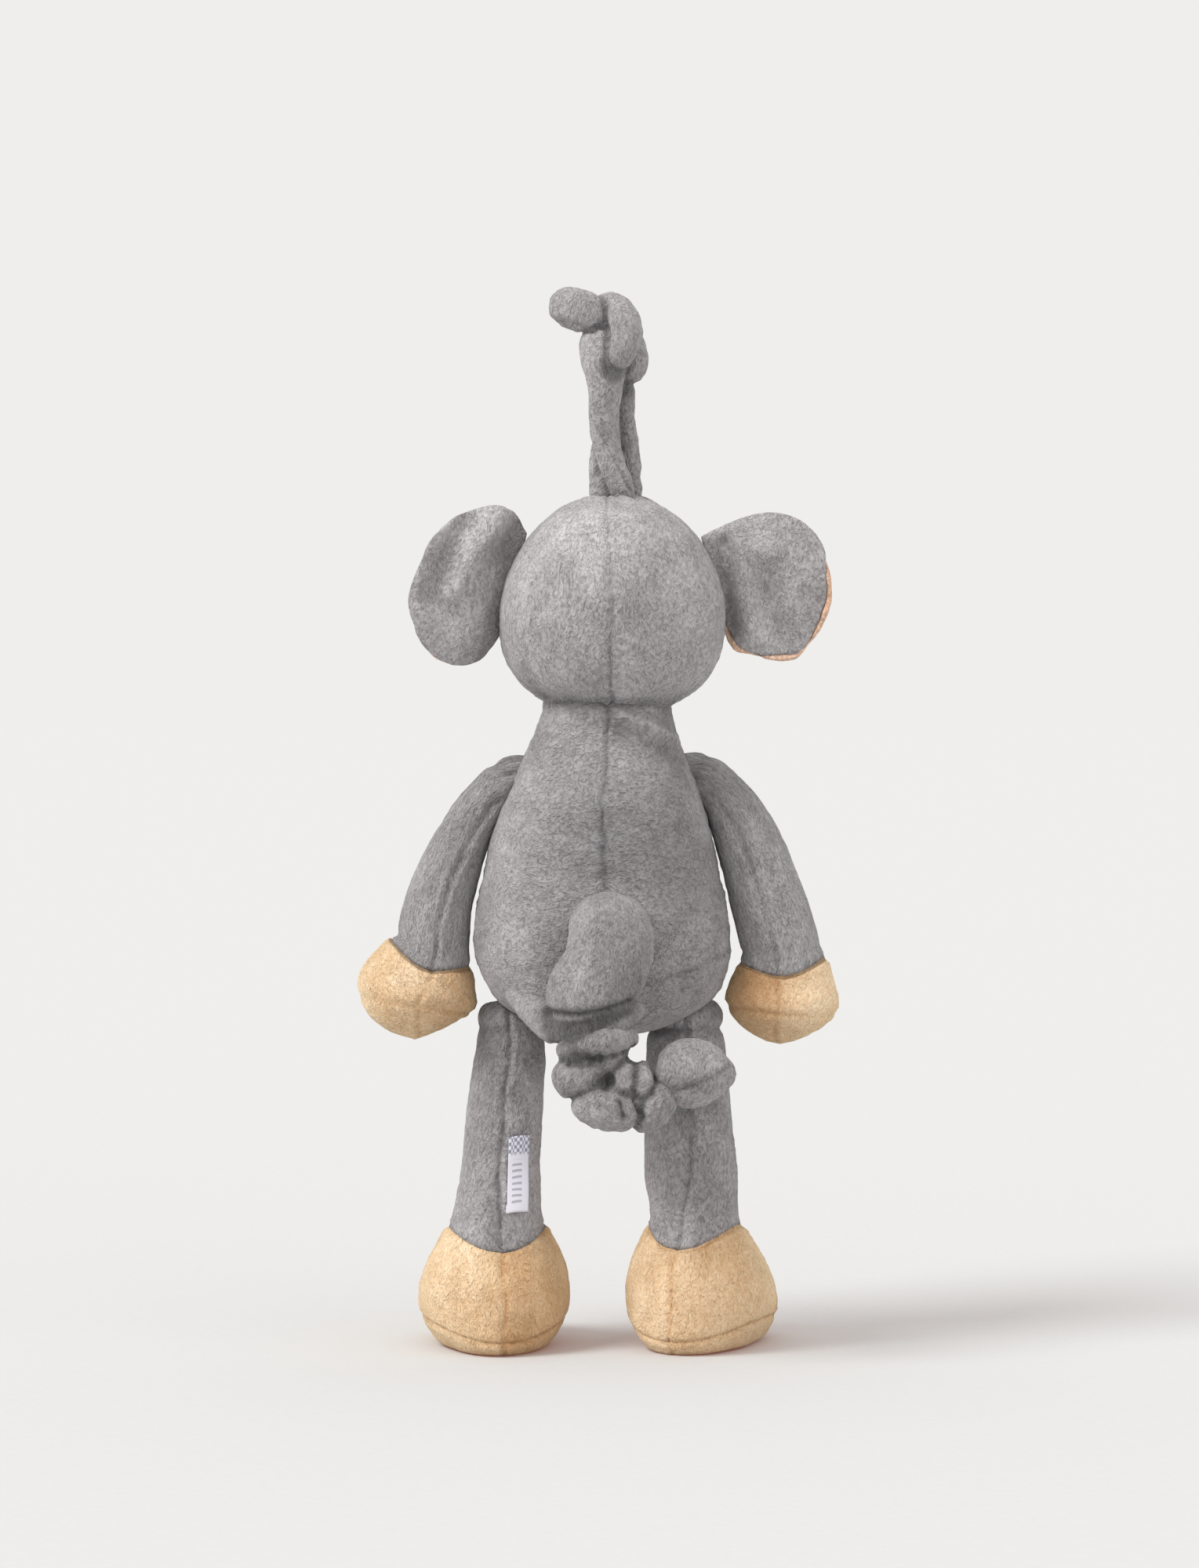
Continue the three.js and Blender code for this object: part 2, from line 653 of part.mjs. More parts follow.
function buildArm(torso, name) {
  const { side, sleeve, hand } = ARMS[name];
  const group = bodyAt(torso, [TORSO_X + side * SHOULDER.facet, SHOULDER.y, SHOULDER.z]);
  const tube = (inset) =>
    softTube(sleeve, { inset, closed: [1, 0] }).add(
      softTube(hand, { inset, depth: HAND_DEPTH, steps: 7, closed: [0, 1] }),
    );
  const skin = tube(0).subtract(tube(PLUSH));
  const cuff = new THREE.Vector3(...hand[1].slice(0, 3));
  const down = new THREE.Vector3(...hand[4].slice(0, 3)).sub(cuff).normalize();
  const palm = new THREE.Vector3(...hand[4].slice(0, 3)).addScaledVector(down, 2);
  const facing = new THREE.Vector3(0, 0.35, -1).normalize();
  const seam = new THREE.Vector3(hand[3][0] + side * 1.5, 0, 0);
  const across = new THREE.Vector3(side, 0, 0);
  const [sleeveSide, handSide] = bothSides(cuff, down);
  const [upperSide, palmSide] = bothSides(palm, facing);
  const [innerSide, outerSide] = bothSides(seam, across);
  const upper = skin.intersect(handSide).intersect(upperSide);
  addNode(group, `${name}_arm_sleeve`, skin.intersect(sleeveSide), GREY_PLUSH);
  addNode(group, `${name}_hand_palm`, skin.intersect(handSide).intersect(palmSide), TAN_PLUSH);
  addNode(group, `${name}_hand_inner_panel`, upper.intersect(innerSide), TAN_PLUSH);
  addNode(group, `${name}_hand_outer_panel`, upper.intersect(outerSide), TAN_PLUSH);
  addNode(group, `${name}_arm_filling`, tube(STUFFED), FILLING);
}

// ---------------------------------------------------------------- legs and feet

function buildLeg(torso, name) {
  const { hip, ankle, yaw, radii, depth, foot } = LEGS[name];
  const group = bodyAt(torso, hip);
  const [hipX, hipY, hipZ] = hip;
  const top = radii[0];
  const last = radii.length - 1;
  const line = [
    [hipX, hipY, hipZ + top * 0.97, top * 0.22],
    [hipX, hipY, hipZ + top * 0.66, top * 0.74],
    ...radii.map((radius, i) => [
      THREE.MathUtils.lerp(hipX, ankle[0], i / last),
      THREE.MathUtils.lerp(hipY, ankle[1], i / last),
      THREE.MathUtils.lerp(hipZ, ankle[2] - 1, i / last),
      radius,
    ]),
    [ankle[0], ankle[1] + 1, ankle[2] - 9, radii[last] - 1],
  ];
  const turn = new THREE.Matrix4()
    .makeTranslation(ankle[0], ankle[1], 0)
    .multiply(new THREE.Matrix4().makeRotationZ(THREE.MathUtils.degToRad(yaw)));
  const footBody = (inset) =>
    skinOver(
      FOOT_ROWS.map(([z, halfWidth, halfDepth, y], row) =>
        around(SIDES, (c, s) =>
          new THREE.Vector3(
            (halfWidth * foot - inset) * c,
            y + (halfDepth * foot - inset) * s,
            Math.max(z, inset + 0.4 * row),
          )
            .applyMatrix4(turn)
            .toArray(),
        ),
      ),
    );
  const whole = (inset) => softTube(line, { inset, depth, closed: [1, 0] }).add(footBody(inset));
  const skin = whole(0).subtract(whole(PLUSH));
  const across = new THREE.Vector3(Math.sign(hipX), 0, 0).transformDirection(turn);
  const [footSide, legSide] = bothSides(new THREE.Vector3(0, 0, ankle[2] - 2), UP);
  const [soleSide, sidesSide] = bothSides(new THREE.Vector3(0, 0, SOLE_TOP), UP);
  const [innerSide, outerSide] = bothSides(new THREE.Vector3(ankle[0], ankle[1], 0), across);
  const sides = skin.intersect(footSide).intersect(sidesSide);
  addNode(group, `${name}_leg_sleeve`, skin.intersect(legSide), GREY_PLUSH);
  addNode(group, `${name}_foot_inner_panel`, sides.intersect(innerSide), TAN_PLUSH);
  addNode(group, `${name}_foot_outer_panel`, sides.intersect(outerSide), TAN_PLUSH);
  addNode(group, `${name}_foot_sole`, skin.intersect(soleSide), TAN_PLUSH);
  addNode(group, `${name}_leg_filling`, whole(STUFFED), FILLING);
  return group;
}

function buildLabel(leg) {
  const { width, height, thickness, at, tilt, turn } = LABEL;
  const strip = new THREE.BoxGeometry(width, thickness, height);
  strip.rotateX(THREE.MathUtils.degToRad(tilt)).rotateZ(THREE.MathUtils.degToRad(turn));
  addNode(leg, "side_label", solid(strip.translate(...at)), LABEL_SATIN);
}

// ---------------------------------------------------------------- tail and pull cord

const gatherCurve = new THREE.CatmullRomCurve3(
  TAIL_GATHER_LINE.map((p) => new THREE.Vector3(...p)),
);

function buildTail(torso) {
  const base = bodyAt(torso, TAIL_HINGE);
  const exit = MOVEMENT.at[1] - MOVEMENT.radius;
  const path = [
    [TAIL_HINGE[0], exit + 19, CORD_Z],
    [TAIL_HINGE[0], exit, CORD_Z],
    [TAIL_HINGE[0], exit - 12, CORD_Z],
    [0.4, -37, 133.8],
    [-1.2, -42.6, 129.2],
    [-3.6, -44, 121.6],
    ...TAIL_GATHER_LINE,
    CORD_END,
  ];
  const cordCurve = new THREE.CatmullRomCurve3(path.map((p) => new THREE.Vector3(...p)));
  const bore = roundRod(cordCurve, TAIL_GATHER.bore, 22, 6);
  const besideTorso = rowBody(TORSO_ROWS, -JOINT_GAP);
  const root = (inset) => softTube(TAIL_BASE_LINE, { inset, closed: [0, 1] });
  const rooms = [besideTorso, bore];
  addNode(base, "tail_base_cover", cutAwayFrom(root(0).subtract(root(PLUSH)), rooms), GREY_PLUSH);
  addNode(base, "tail_base_filling", cutAwayFrom(root(STUFFED), rooms), FILLING);

  const { crest, trough, end, folds } = TAIL_GATHER;
  const stations = folds * 4;
  const gathered = Array.from({ length: stations + 1 }, (_, i) => {
    const t = i / stations;
    const wave = 0.5 - 0.5 * Math.cos(2 * Math.PI * folds * t);
    const full = THREE.MathUtils.lerp(trough, crest, wave);
    const narrowing = THREE.MathUtils.smoothstep(t, 0.72, 1);
    return [...gatherCurve.getPoint(t).toArray(), THREE.MathUtils.lerp(full, end, narrowing)];
  });
  const sleeve = softTube(gathered, { steps: stations, sides: 12 }).subtract(bore);
  addNode(base, "tail_gathered_sleeve", sleeve.subtract(root(-SEAM)), GREY_PLUSH);
  addNode(base, "pull_cord", roundRod(cordCurve, CORD_RADIUS, 36, 6), CORD, 0);

  const tip = bodyAt(base, TAIL_TIP_LINE[0].slice(0, 3));
  const cordEnd = ellipsoid(CORD_END, [6, 3.2, 3.2], 10, 6);
  const tipTube = (inset) => softTube(TAIL_TIP_LINE, { inset, steps: 8 });
  addNode(tip, "tail_tip_cover", tipTube(0).subtract(tipTube(PLUSH)).subtract(cordEnd), GREY_PLUSH);
  addNode(tip, "tail_tip_filling", tipTube(STUFFED).subtract(cordEnd), FILLING);
}

// ---------------------------------------------------------------- hanging loop

function buildLoop(head) {
  const { x, y, base, baseRadius, width, strand, apart, knotZ } = LOOP;
  const group = bodyAt(head, [x, y, base]);
  const bar = new THREE.CylinderGeometry(baseRadius, baseRadius, width, 14);
  let loop = solid(bar.rotateZ(Math.PI / 2).translate(x, y, base));
  for (const side of [-1, 1]) {
    const out = y + (side * apart) / 2;
    const line = [
      [x, y + side * 2.4, base, width / 2],
      [x, out, base + 8, width / 2],
      [x - 0.4, out, base + 18, width / 2],
      [x - 0.8, out, knotZ - 10, width / 2],
      [x - 0.6, y + side * 2.4, knotZ - 2, width / 2 - 1],
    ];
    loop = loop.add(softTube(line, { steps: 7, sides: 8, depth: strand / width }));
  }
  const knot = ellipsoid([x - 1, y, knotZ], [9.6, 9.4, 10.4], 12, 8);
  const end = [
    [x, y, knotZ + 5, 6],
    [x - 6, y, knotZ + 10.5, 7],
    [x - 13, y, knotZ + 12.6, 7.3],
    [x - 18.6, y, knotZ + 12.4, 6.4],
    [x - 20.8, y, knotZ + 12.2, 3.4],
  ];
  addNode(group, "hanging_loop", loop.add(knot).add(softTube(end, { steps: 6, sides: 10 })), GREY_PLUSH);
}

// ---------------------------------------------------------------- musical movement

// A flat spur gear: teeth narrower than their gaps, so that a pair runs free.
function gear(teeth, low, high, x, y, turn = 0) {
  const pitch = (GEAR_MODULE * teeth) / 2;
  const tipRadius = pitch + 0.8 * GEAR_MODULE;
  const rootRadius = pitch - 1.1 * GEAR_MODULE;
  const step = (2 * Math.PI) / teeth;
  const outline = new THREE.Shape();
  const corner = (radius, angle) => [radius * Math.cos(angle), radius * Math.sin(angle)];
  for (let i = 0; i < teeth; i++) {
    const at = i * step + turn;
    const draw = i === 0 ? outline.moveTo.bind(outline) : outline.lineTo.bind(outline);
    draw(...corner(rootRadius, at - 0.27 * step));
    outline.lineTo(...corner(tipRadius, at - 0.1 * step));
    outline.lineTo(...corner(tipRadius, at + 0.1 * step));
    outline.lineTo(...corner(rootRadius, at + 0.27 * step));
  }
  outline.closePath();
  const slab = new THREE.ExtrudeGeometry(outline, {
    depth: high - low,
    bevelEnabled: false,
    curveSegments: 10,
  });
  return solid(slab.translate(x, y, low));
}

// A wheel set on an upright axle: rings of solid material with one bore through them.
function onAxle(parts, low, high, x, y) {
  const whole = parts.reduce((sum, part) => sum.add(part));
  return whole.subtract(cylinder(AXLE.bore, low - 1, high + 1, x, y, 14));
}

function buildMovement(torso) {
  const { at, radius, height, wall, screws } = MOVEMENT;
  const [cx, cy, cz] = at;
  const floor = cz - height / 2 + wall;
  const ceiling = cz + height / 2 - wall;
  const bosses = screws.map((degrees) => {
    const angle = THREE.MathUtils.degToRad(degrees);
    const ring = radius - 3.4;
    return [cx + ring * Math.cos(angle), cy + ring * Math.sin(angle)];
  });
  const swing = THREE.MathUtils.degToRad(GOVERNOR.bearing);
  const reach = (GEAR_MODULE * (DRUM.wheelTeeth + GOVERNOR.teeth)) / 2;
  const governorAt = [DRUM.at[0] + reach * Math.cos(swing), DRUM.at[1] + reach * Math.sin(swing)];
  const comb = { x: DRUM.at[0], y: DRUM.at[1] + DRUM.radius + 0.7, low: 133.6, high: 139 };

  let cup = cylinder(radius, floor - wall, ceiling - 0.3, cx, cy, 32).subtract(
    cylinder(radius - wall, floor, ceiling + 1, cx, cy, 32),
  );
  for (const [x, y] of bosses) {
    cup = cup.add(cylinder(2.1, floor - 0.5, ceiling - 0.3, x, y, 14));
    cup = cup.subtract(cylinder(0.95, floor + 4, ceiling, x, y, 10));
  }
  for (const [x, y] of [SPOOL.at, DRUM.at, governorAt]) {
    cup = cup.add(cylinder(AXLE.radius, floor - 0.5, ceiling - 0.8, x, y, 12));
  }
  const post = new THREE.BoxGeometry(3, 4.6, comb.high - floor + 0.5);
  cup = cup.add(solid(post.translate(comb.x + 2.4, comb.y + 7.4, (comb.high + floor - 0.5) / 2)));
  const screwLine = (r, from, to) => {
    const rod = new THREE.CylinderGeometry(r, r, to - from, 12).rotateZ(Math.PI / 2);
    return solid(rod.translate((from + to) / 2, comb.y + 7.4, (comb.low + comb.high) / 2));
  };
  cup = cup.subtract(screwLine(0.9, comb.x, comb.x + 5));
  const cordHole = new THREE.CylinderGeometry(1.8, 1.8, 8, 14);
  cup = cup.subtract(solid(cordHole.translate(TAIL_HINGE[0], cy - radius, CORD_Z)));
  addNode(torso, "movement_case", cup, PLASTIC, 0.01);

  let cover = cylinder(radius, ceiling, ceiling + wall, cx, cy, 32);
  for (const [x, y] of bosses) cover = cover.subtract(cylinder(1.1, ceiling - 1, ceiling + 3, x, y, 12));
  addNode(torso, "movement_cover", cover, PLASTIC, 0.01);
  const top = ceiling + wall;
  bosses.forEach(([x, y], i) => {
    const shank = cylinder(0.65, floor + 5, top + 0.2, x, y, 10);
    const screw = shank.add(cylinder(1.7, top + 0.03, top + 0.33, x, y, 12));
    addNode(torso, `cover_screw_${i + 1}`, screw, STEEL, 0);
  });

  let plate = solid(
    new THREE.BoxGeometry(0.6, 10, comb.high - comb.low).translate(
      comb.x,
      comb.y + 5,
      (comb.high + comb.low) / 2,
    ),
  );
  for (let z = comb.low + 0.8; z < comb.high - 0.4; z += 0.9) {
    plate = plate.subtract(solid(new THREE.BoxGeometry(2, 8, 0.25).translate(comb.x, comb.y, z)));
  }
  plate = plate.subtract(screwLine(0.9, comb.x - 2, comb.x + 2));
  addNode(torso, "comb", plate, STEEL, 0);
  const combScrew = screwLine(0.65, comb.x - 0.7, comb.x + 3.6);
  addNode(torso, "comb_screw", combScrew.add(screwLine(1.5, comb.x - 1.3, comb.x - 0.4)), STEEL, 0);

  const spring = mainspring(SPOOL.at, floor + 0.4, floor + 4.2);
  addNode(torso, "mainspring", spring, STEEL, 0);

  const [sx, sy] = SPOOL.at;
  const spool = bodyAt(torso, [sx, sy, 131]);
  const spoolParts = [
    gear(SPOOL.teeth, 131, 132.7, sx, sy),
    cylinder(SPOOL.drum, 132.6, 135.5, sx, sy),
    cylinder(SPOOL.flange, 135.4, 136.6, sx, sy),
    cylinder(2.4, 136.5, 140.6, sx, sy, 16),
  ];
  addNode(spool, "cord_spool", onAxle(spoolParts, 131, 141, sx, sy), PLASTIC, 0);

  const [dx, dy] = DRUM.at;
  const drum = bodyAt(torso, [dx, dy, 131]);
  const pins = pinnedCylinder(DRUM.radius, 133.2, 139.4, dx, dy, comb);
  const mesh = Math.PI * (1 + 1 / DRUM.teeth);
  const drumParts = [
    gear(DRUM.teeth, 130.9, 133.3, dx, dy, mesh),
    pins,
    gear(DRUM.wheelTeeth, 139.3, 140.8, dx, dy, swing),
  ];
  addNode(drum, "pinned_drum", onAxle(drumParts, 130, 141, dx, dy), BRASS, 0);

  const [gx, gy] = governorAt;
  const governor = bodyAt(torso, [gx, gy, 131]);
  const governorParts = [
    cylinder(GOVERNOR.fan, 128, 129.6, gx, gy, 16),
    cylinder(1.9, 129.5, 139.2, gx, gy, 16),
    gear(GOVERNOR.teeth, 139.1, 141, gx, gy, swing + Math.PI + Math.PI / GOVERNOR.teeth),
  ];
  addNode(governor, "governor", onAxle(governorParts, 127, 142, gx, gy), BRASS, 0);
}

// The drum with its raised pins, one ring of them for each tooth of the comb.
function pinnedCylinder(radius, low, high, x, y, comb) {
  let drum = cylinder(radius, low, high, x, y, 24);
  const pitch = 0.9;
  for (let row = 0; comb.low + 0.35 + row * pitch < comb.high; row++) {
    const z = comb.low + 0.35 + row * pitch;
    for (let k = 0; k < 2; k++) {
      const angle = 2.4 * row + k * Math.PI + 0.5;
      const pin = new THREE.BoxGeometry(1, 0.4, 0.4).translate(radius - 0.15, 0, 0).rotateZ(angle);
      drum = drum.add(solid(pin.translate(x, y, z)));
    }
  }
  return drum;
}

// A coiled strip, wound from near the axle outwards.
function mainspring([x, y], low, high) {
  const turns = 4.5;
  const steps = 54;
  const path = Array.from({ length: steps + 1 }, (_, i) => {
    const t = i / steps;
    const angle = 2 * Math.PI * turns * t;
    const r = THREE.MathUtils.lerp(2.6, 9.6, t);
    return new THREE.Vector2(r * Math.cos(angle), r * Math.sin(angle));
  });
  const strip = new THREE.Shape();
  const offset = (p, by) => p.clone().setLength(p.length() + by);
  const ring = [...path.map((p) => offset(p, -0.22)), ...path.map((p) => offset(p, 0.22)).reverse()];
  strip.setFromPoints(ring);
  const slab = new THREE.ExtrudeGeometry(strip, { depth: high - low, bevelEnabled: false });
  return solid(slab.translate(x, y, low));
}

const torso = buildTorso();
const head = buildHead(torso);
buildEar(head, "left");
buildEar(head, "right");
buildArm(torso, "left");
buildArm(torso, "right");
const leftLeg = buildLeg(torso, "left");
buildLeg(torso, "right");
buildLabel(leftLeg);
buildTail(torso);
buildLoop(head);
buildMovement(torso);

export default monkey;
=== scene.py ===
import json
import math
from itertools import product

import bpy
import numpy as np
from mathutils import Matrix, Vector
from mathutils.kdtree import KDTree


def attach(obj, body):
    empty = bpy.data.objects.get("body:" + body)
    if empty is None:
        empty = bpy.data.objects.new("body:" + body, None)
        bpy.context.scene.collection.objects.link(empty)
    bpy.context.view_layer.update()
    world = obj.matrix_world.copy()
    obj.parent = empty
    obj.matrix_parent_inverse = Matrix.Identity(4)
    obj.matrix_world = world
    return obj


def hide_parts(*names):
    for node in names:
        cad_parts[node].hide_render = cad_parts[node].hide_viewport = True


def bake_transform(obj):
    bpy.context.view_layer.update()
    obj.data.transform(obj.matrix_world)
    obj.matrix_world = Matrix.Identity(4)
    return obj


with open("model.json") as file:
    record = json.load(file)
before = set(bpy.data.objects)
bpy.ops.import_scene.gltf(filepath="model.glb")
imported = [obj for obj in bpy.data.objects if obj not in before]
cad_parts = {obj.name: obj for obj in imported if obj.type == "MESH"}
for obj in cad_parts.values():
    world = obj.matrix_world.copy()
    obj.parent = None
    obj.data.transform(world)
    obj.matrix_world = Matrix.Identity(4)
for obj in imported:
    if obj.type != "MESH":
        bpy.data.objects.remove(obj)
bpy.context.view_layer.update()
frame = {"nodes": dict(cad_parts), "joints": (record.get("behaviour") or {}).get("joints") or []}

# Lengths are in millimetres, in a frame that stands on the toy's spine. The monkey faces +Y.
NECK = np.array([0.9, 0.0, 203.0])
neck_at = next(joint["pos_m"] for joint in frame["joints"] if joint["name"] == "neck_nod")
SPINE = np.array([neck_at[0] * 1000 - NECK[0], neck_at[1] * 1000 - NECK[1], 0.0])


def metres(points):
    return (np.asarray(points, float) + SPINE) / 1000


# -------------------- camera, light and stage

AIM = (-1.6, 0.0, 180.5)
CAMERA_AT = (-1.6, -1300.0, 212.0)


def look_at(item, at, target):
    item.location = metres(at)
    direction = Vector(metres(target)) - Vector(metres(at))
    item.rotation_euler = direction.to_track_quat("-Z", "Y").to_euler()


def link(name, data):
    item = bpy.data.objects.new(name, data)
    bpy.context.scene.collection.objects.link(item)
    return item


lens = bpy.data.cameras.new("camera")
lens.lens = 93.6
lens.sensor_width = 36
lens.clip_start = 0.05
lens.clip_end = 60
camera = link("camera", lens)
look_at(camera, CAMERA_AT, AIM)
bpy.context.scene.camera = camera

# soft suns: where each comes from, its strength, colour and spread in degrees
SUNS = {
    "key": ((-0.74, -0.42, 0.86), 2.1, (1.0, 0.99, 0.975), 26),
    "fill": ((0.85, -0.6, 0.3), 0.4, (1.0, 1.0, 1.0), 60),
}
for name, (source, strength, colour, spread) in SUNS.items():
    sun = bpy.data.lights.new(name, "SUN")
    sun.energy = strength
    sun.color = colour
    sun.angle = math.radians(spread)
    look_at(link(name, sun), np.array(source) * 1000, (0, 0, 0))

BACKGROUND = (0.863, 0.855, 0.838)
world = bpy.data.worlds.new("studio")
world.use_nodes = True
sky = world.node_tree.nodes["Background"]
sky.inputs["Color"].default_value = (*BACKGROUND, 1)
sky.inputs["Strength"].default_value = 1.0
bpy.context.scene.world = world
bpy.context.scene.view_settings.view_transform = "Standard"


# -------------------- materials

class Nodes:
    """A short way to wire a material's nodes."""

    def __init__(self, name):
        self.material = bpy.data.materials.new(name)
        self.material.use_nodes = True
        self.tree = self.material.node_tree
        self.shader = self.tree.nodes["Principled BSDF"]

    def add(self, kind, inputs=(), **settings):
        node = self.tree.nodes.new(kind)
        for key, value in settings.items():
            setattr(node, key, value)
        for key, value in dict(inputs).items():
            if isinstance(value, bpy.types.NodeSocket):
                self.tree.links.new(value, node.inputs[key])
            else:
                node.inputs[key].default_value = value
        return node

    def noise(self, vector, scale, detail=2.0, roughness=0.5, distortion=0.0):
        inputs = {"Vector": vector, "Scale": scale, "Detail": detail}
        inputs |= {"Roughness": roughness, "Distortion": distortion}
        return self.add("ShaderNodeTexNoise", inputs).outputs["Fac"]

    def ramp(self, value, low=0.3, high=0.7, to=(0.0, 1.0)):
        inputs = {"Value": value, "From Min": low, "From Max": high, "To Min": to[0], "To Max": to[1]}
        return self.add("ShaderNodeMapRange", inputs).outputs["Result"]

    def wave(self, vector, scale, direction, distortion, detail=2.0, profile="SIN"):
        inputs = {"Vector": vector, "Scale": scale, "Distortion": distortion, "Detail": detail}
        node = self.add("ShaderNodeTexWave", inputs, bands_direction=direction, wave_profile=profile)
        return node.outputs["Fac"]

    def attribute(self, name, output):
        return self.add("ShaderNodeAttribute", attribute_name=name).outputs[output]

    def place(self):
        return self.add("ShaderNodeTexCoord").outputs["Object"]

    def math(self, operation, a, b):
        node = self.add("ShaderNodeMath", {0: a, 1: b}, operation=operation)
        return node.outputs["Value"]

    def times(self, first, *others):
        for other in others:
            first = self.math("MULTIPLY", first, other)
        return first

    def colour(self, red, green, blue):
        inputs = {"Red": red, "Green": green, "Blue": blue}
        return self.add("ShaderNodeCombineColor", inputs).outputs["Color"]

    def mix(self, share, a, b, blend="MIX"):
        node = self.add("ShaderNodeMix", data_type="RGBA", blend_type=blend)
        for key, value in {"Factor": share, "A": a, "B": b}.items():
            sockets = [s for s in node.inputs if s.name == key and s.type in ("VALUE", "RGBA")]
            socket = sockets[0] if key == "Factor" else sockets[-1]
            if isinstance(value, bpy.types.NodeSocket):
                self.tree.links.new(value, socket)
            else:
                socket.default_value = value if key == "Factor" else (*value, 1)
        return next(s for s in node.outputs if s.type == "RGBA")

    def stretched(self, vector, scale):
        return self.add("ShaderNodeMapping", {"Vector": vector, "Scale": scale}).outputs["Vector"]

    def bump(self, height, distance, strength=1.0, under=None):
        inputs = {"Height": height, "Distance": distance, "Strength": strength}
        if under is not None:
            inputs["Normal"] = under
        return self.add("ShaderNodeBump", inputs).outputs["Normal"]

    def finish(self, constants, **linked):
        for key, socket in linked.items():
            self.tree.links.new(socket, self.shader.inputs[key.replace("_", " ").title()])
        for key, value in constants.items():
            self.shader.inputs[key].default_value = value
        return self.material


def srgb(*channels):
    """A linear colour from red, green and blue that go from 0 to 255."""
    shares = [channel / 255 for channel in channels]
    return tuple(c / 12.92 if c <= 0.04045 else ((c + 0.055) / 1.055) ** 2.4 for c in shares)


# the pile's noises, in waves per millimetre
SWIRL_SCALE = 0.05
PATCH_SCALE = 0.036
BRUSH_SCALE = 0.12
TUFT_SCALE = 0.95
FIBRE_SCALE = 2.0
# how far a swirl bends the pile, in millimetres
SWIRL = 7.0
# what the groove attribute does to the colour: shade in two steps above zero, light below it
GROOVE_SHADES = [(0.0, 1.0, (1.0, 0.4)), (1.0, 2.0, (1.0, 0.3)), (-1.0, 0.0, (1.5, 1.0))]


def plush(name, light, dark, pits=0.29, warmth=0.0):
    """Short-pile plush: small tufts along the nap, wide patches where the pile lies differently, and the
    painted shade and painted light that the groove attribute carries, such as the shade in the seams.
    """
    n = Nodes(name)
    nap = n.attribute("nap", "Vector")
    groove = n.attribute("groove", "Fac")
    swirls = {"Vector": nap, "Scale": SWIRL_SCALE, "Detail": 1.0}
    swirl = n.add("ShaderNodeTexNoise", swirls).outputs["Color"]
    bent = n.add("ShaderNodeVectorMath", {0: swirl, "Scale": SWIRL}, operation="SCALE").outputs[0]
    shifted = n.add("ShaderNodeVectorMath", {0: nap, 1: bent}, operation="ADD").outputs[0]
    along = n.stretched(shifted, (1.0, 1.0, 0.66))
    patches = n.ramp(n.noise(n.stretched(nap, (1.0, 1.0, 0.7)), PATCH_SCALE, 2.0, 0.55), 0.4, 0.6)
    brushed_and_painted_light = n.ramp(n.noise(along, BRUSH_SCALE, 2.0, 0.55), 0.36, 0.64)
    tufts = n.noise(along, TUFT_SCALE, 1.5, 0.55, 0.9)
    fibres = n.noise(n.stretched(shifted, (1.0, 1.0, 0.5)), FIBRE_SCALE, 3.0, 0.65)
    tone = n.math("ADD", n.times(patches, 0.6), n.times(brushed_and_painted_light, 0.4))
    colour = n.mix(tone, dark, light)
    # the low points of the tufts and fibres get painted shade; the groove attribute adds painted shade and
    # painted light
    pitted = n.ramp(tufts, 0.34, 0.62, (1.0 - pits, 1.05 + 0.28 * pits))
    shade = n.times(pitted, n.ramp(fibres, 0.3, 0.68, (0.83, 1.16)))
    shade = n.times(shade, *(n.ramp(groove, low, high, to) for low, high, to in GROOVE_SHADES))
    shades = n.colour(n.math("POWER", shade, 1 - warmth), shade, n.math("POWER", shade, 1 + warmth))
    colour = n.mix(1.0, colour, shades, "MULTIPLY")
    normal = n.bump(brushed_and_painted_light, 0.0016, 0.35)
    normal = n.bump(tufts, 0.0011, 0.85, normal)
    normal = n.bump(fibres, 0.0006, 0.9, normal)
    sheen = [min(1.0, c * 1.5 + 0.12) for c in light]
    constants = {"Specular IOR Level": 0.08, "Sheen Weight": 0.4, "Sheen Roughness": 0.38}
    constants["Sheen Tint"] = (*sheen, 1)
    rough = n.ramp(tufts, to=(1.0, 0.85))
    return n.finish(constants, base_color=colour, normal=normal, roughness=rough)


GREY = plush("grey plush", srgb(174, 171, 173), srgb(141, 137, 138))
TAN = plush("tan plush", srgb(235, 203, 166), srgb(208, 168, 126), pits=0.14, warmth=0.36)
PEACH = plush("peach plush", srgb(250, 212, 186), srgb(232, 188, 160))


# -------------------- shapes as arrays of points

# a distance at which a seam leaves no mark
FAR = 99.0


def smooth(t):
    t = np.clip(t, 0.0, 1.0)
    return t * t * (3 - 2 * t)


def hill(distance, width):
    return np.exp(-((distance / width) ** 2))


CELL_PRIMES = np.array([374761393, 668265263, 1274126177])
SEED_PRIME = 974634777
MIXER = 1103515245
LOW_32_BITS = 0xFFFFFFFF


def value_noise(points, seed):
    """Smooth noise from -1 to 1 over rows of points."""
    cell = np.floor(points).astype(np.int64)
    part = smooth(points - cell)
    total = np.zeros(len(points))
    for corner in product((0, 1), repeat=3):
        key = ((cell + corner) @ CELL_PRIMES + seed * SEED_PRIME) & LOW_32_BITS
        key = ((key ^ (key >> 13)) * MIXER) & LOW_32_BITS
        value = ((key ^ (key >> 16)) & 0xFFFF) / 32767.5 - 1
        share = np.prod(np.where(corner, part, 1 - part), axis=1)
        total += value * share
    return total


def spline(knots, t):
    """A smooth line through knots, at places t counted in knots."""
    knots = np.asarray(knots, float)
    last = len(knots) - 1
    i = np.clip(np.floor(t).astype(int), 0, last - 1)
    f = (t - i)[:, None]
    a, b, c, d = (knots[np.clip(i + k, 0, last)] for k in (-1, 0, 1, 2))
    square, cube = 2 * a - 5 * b + 4 * c - d, 3 * b - a - 3 * c + d
    return 0.5 * (2 * b + (c - a) * f + square * f**2 + cube * f**3)


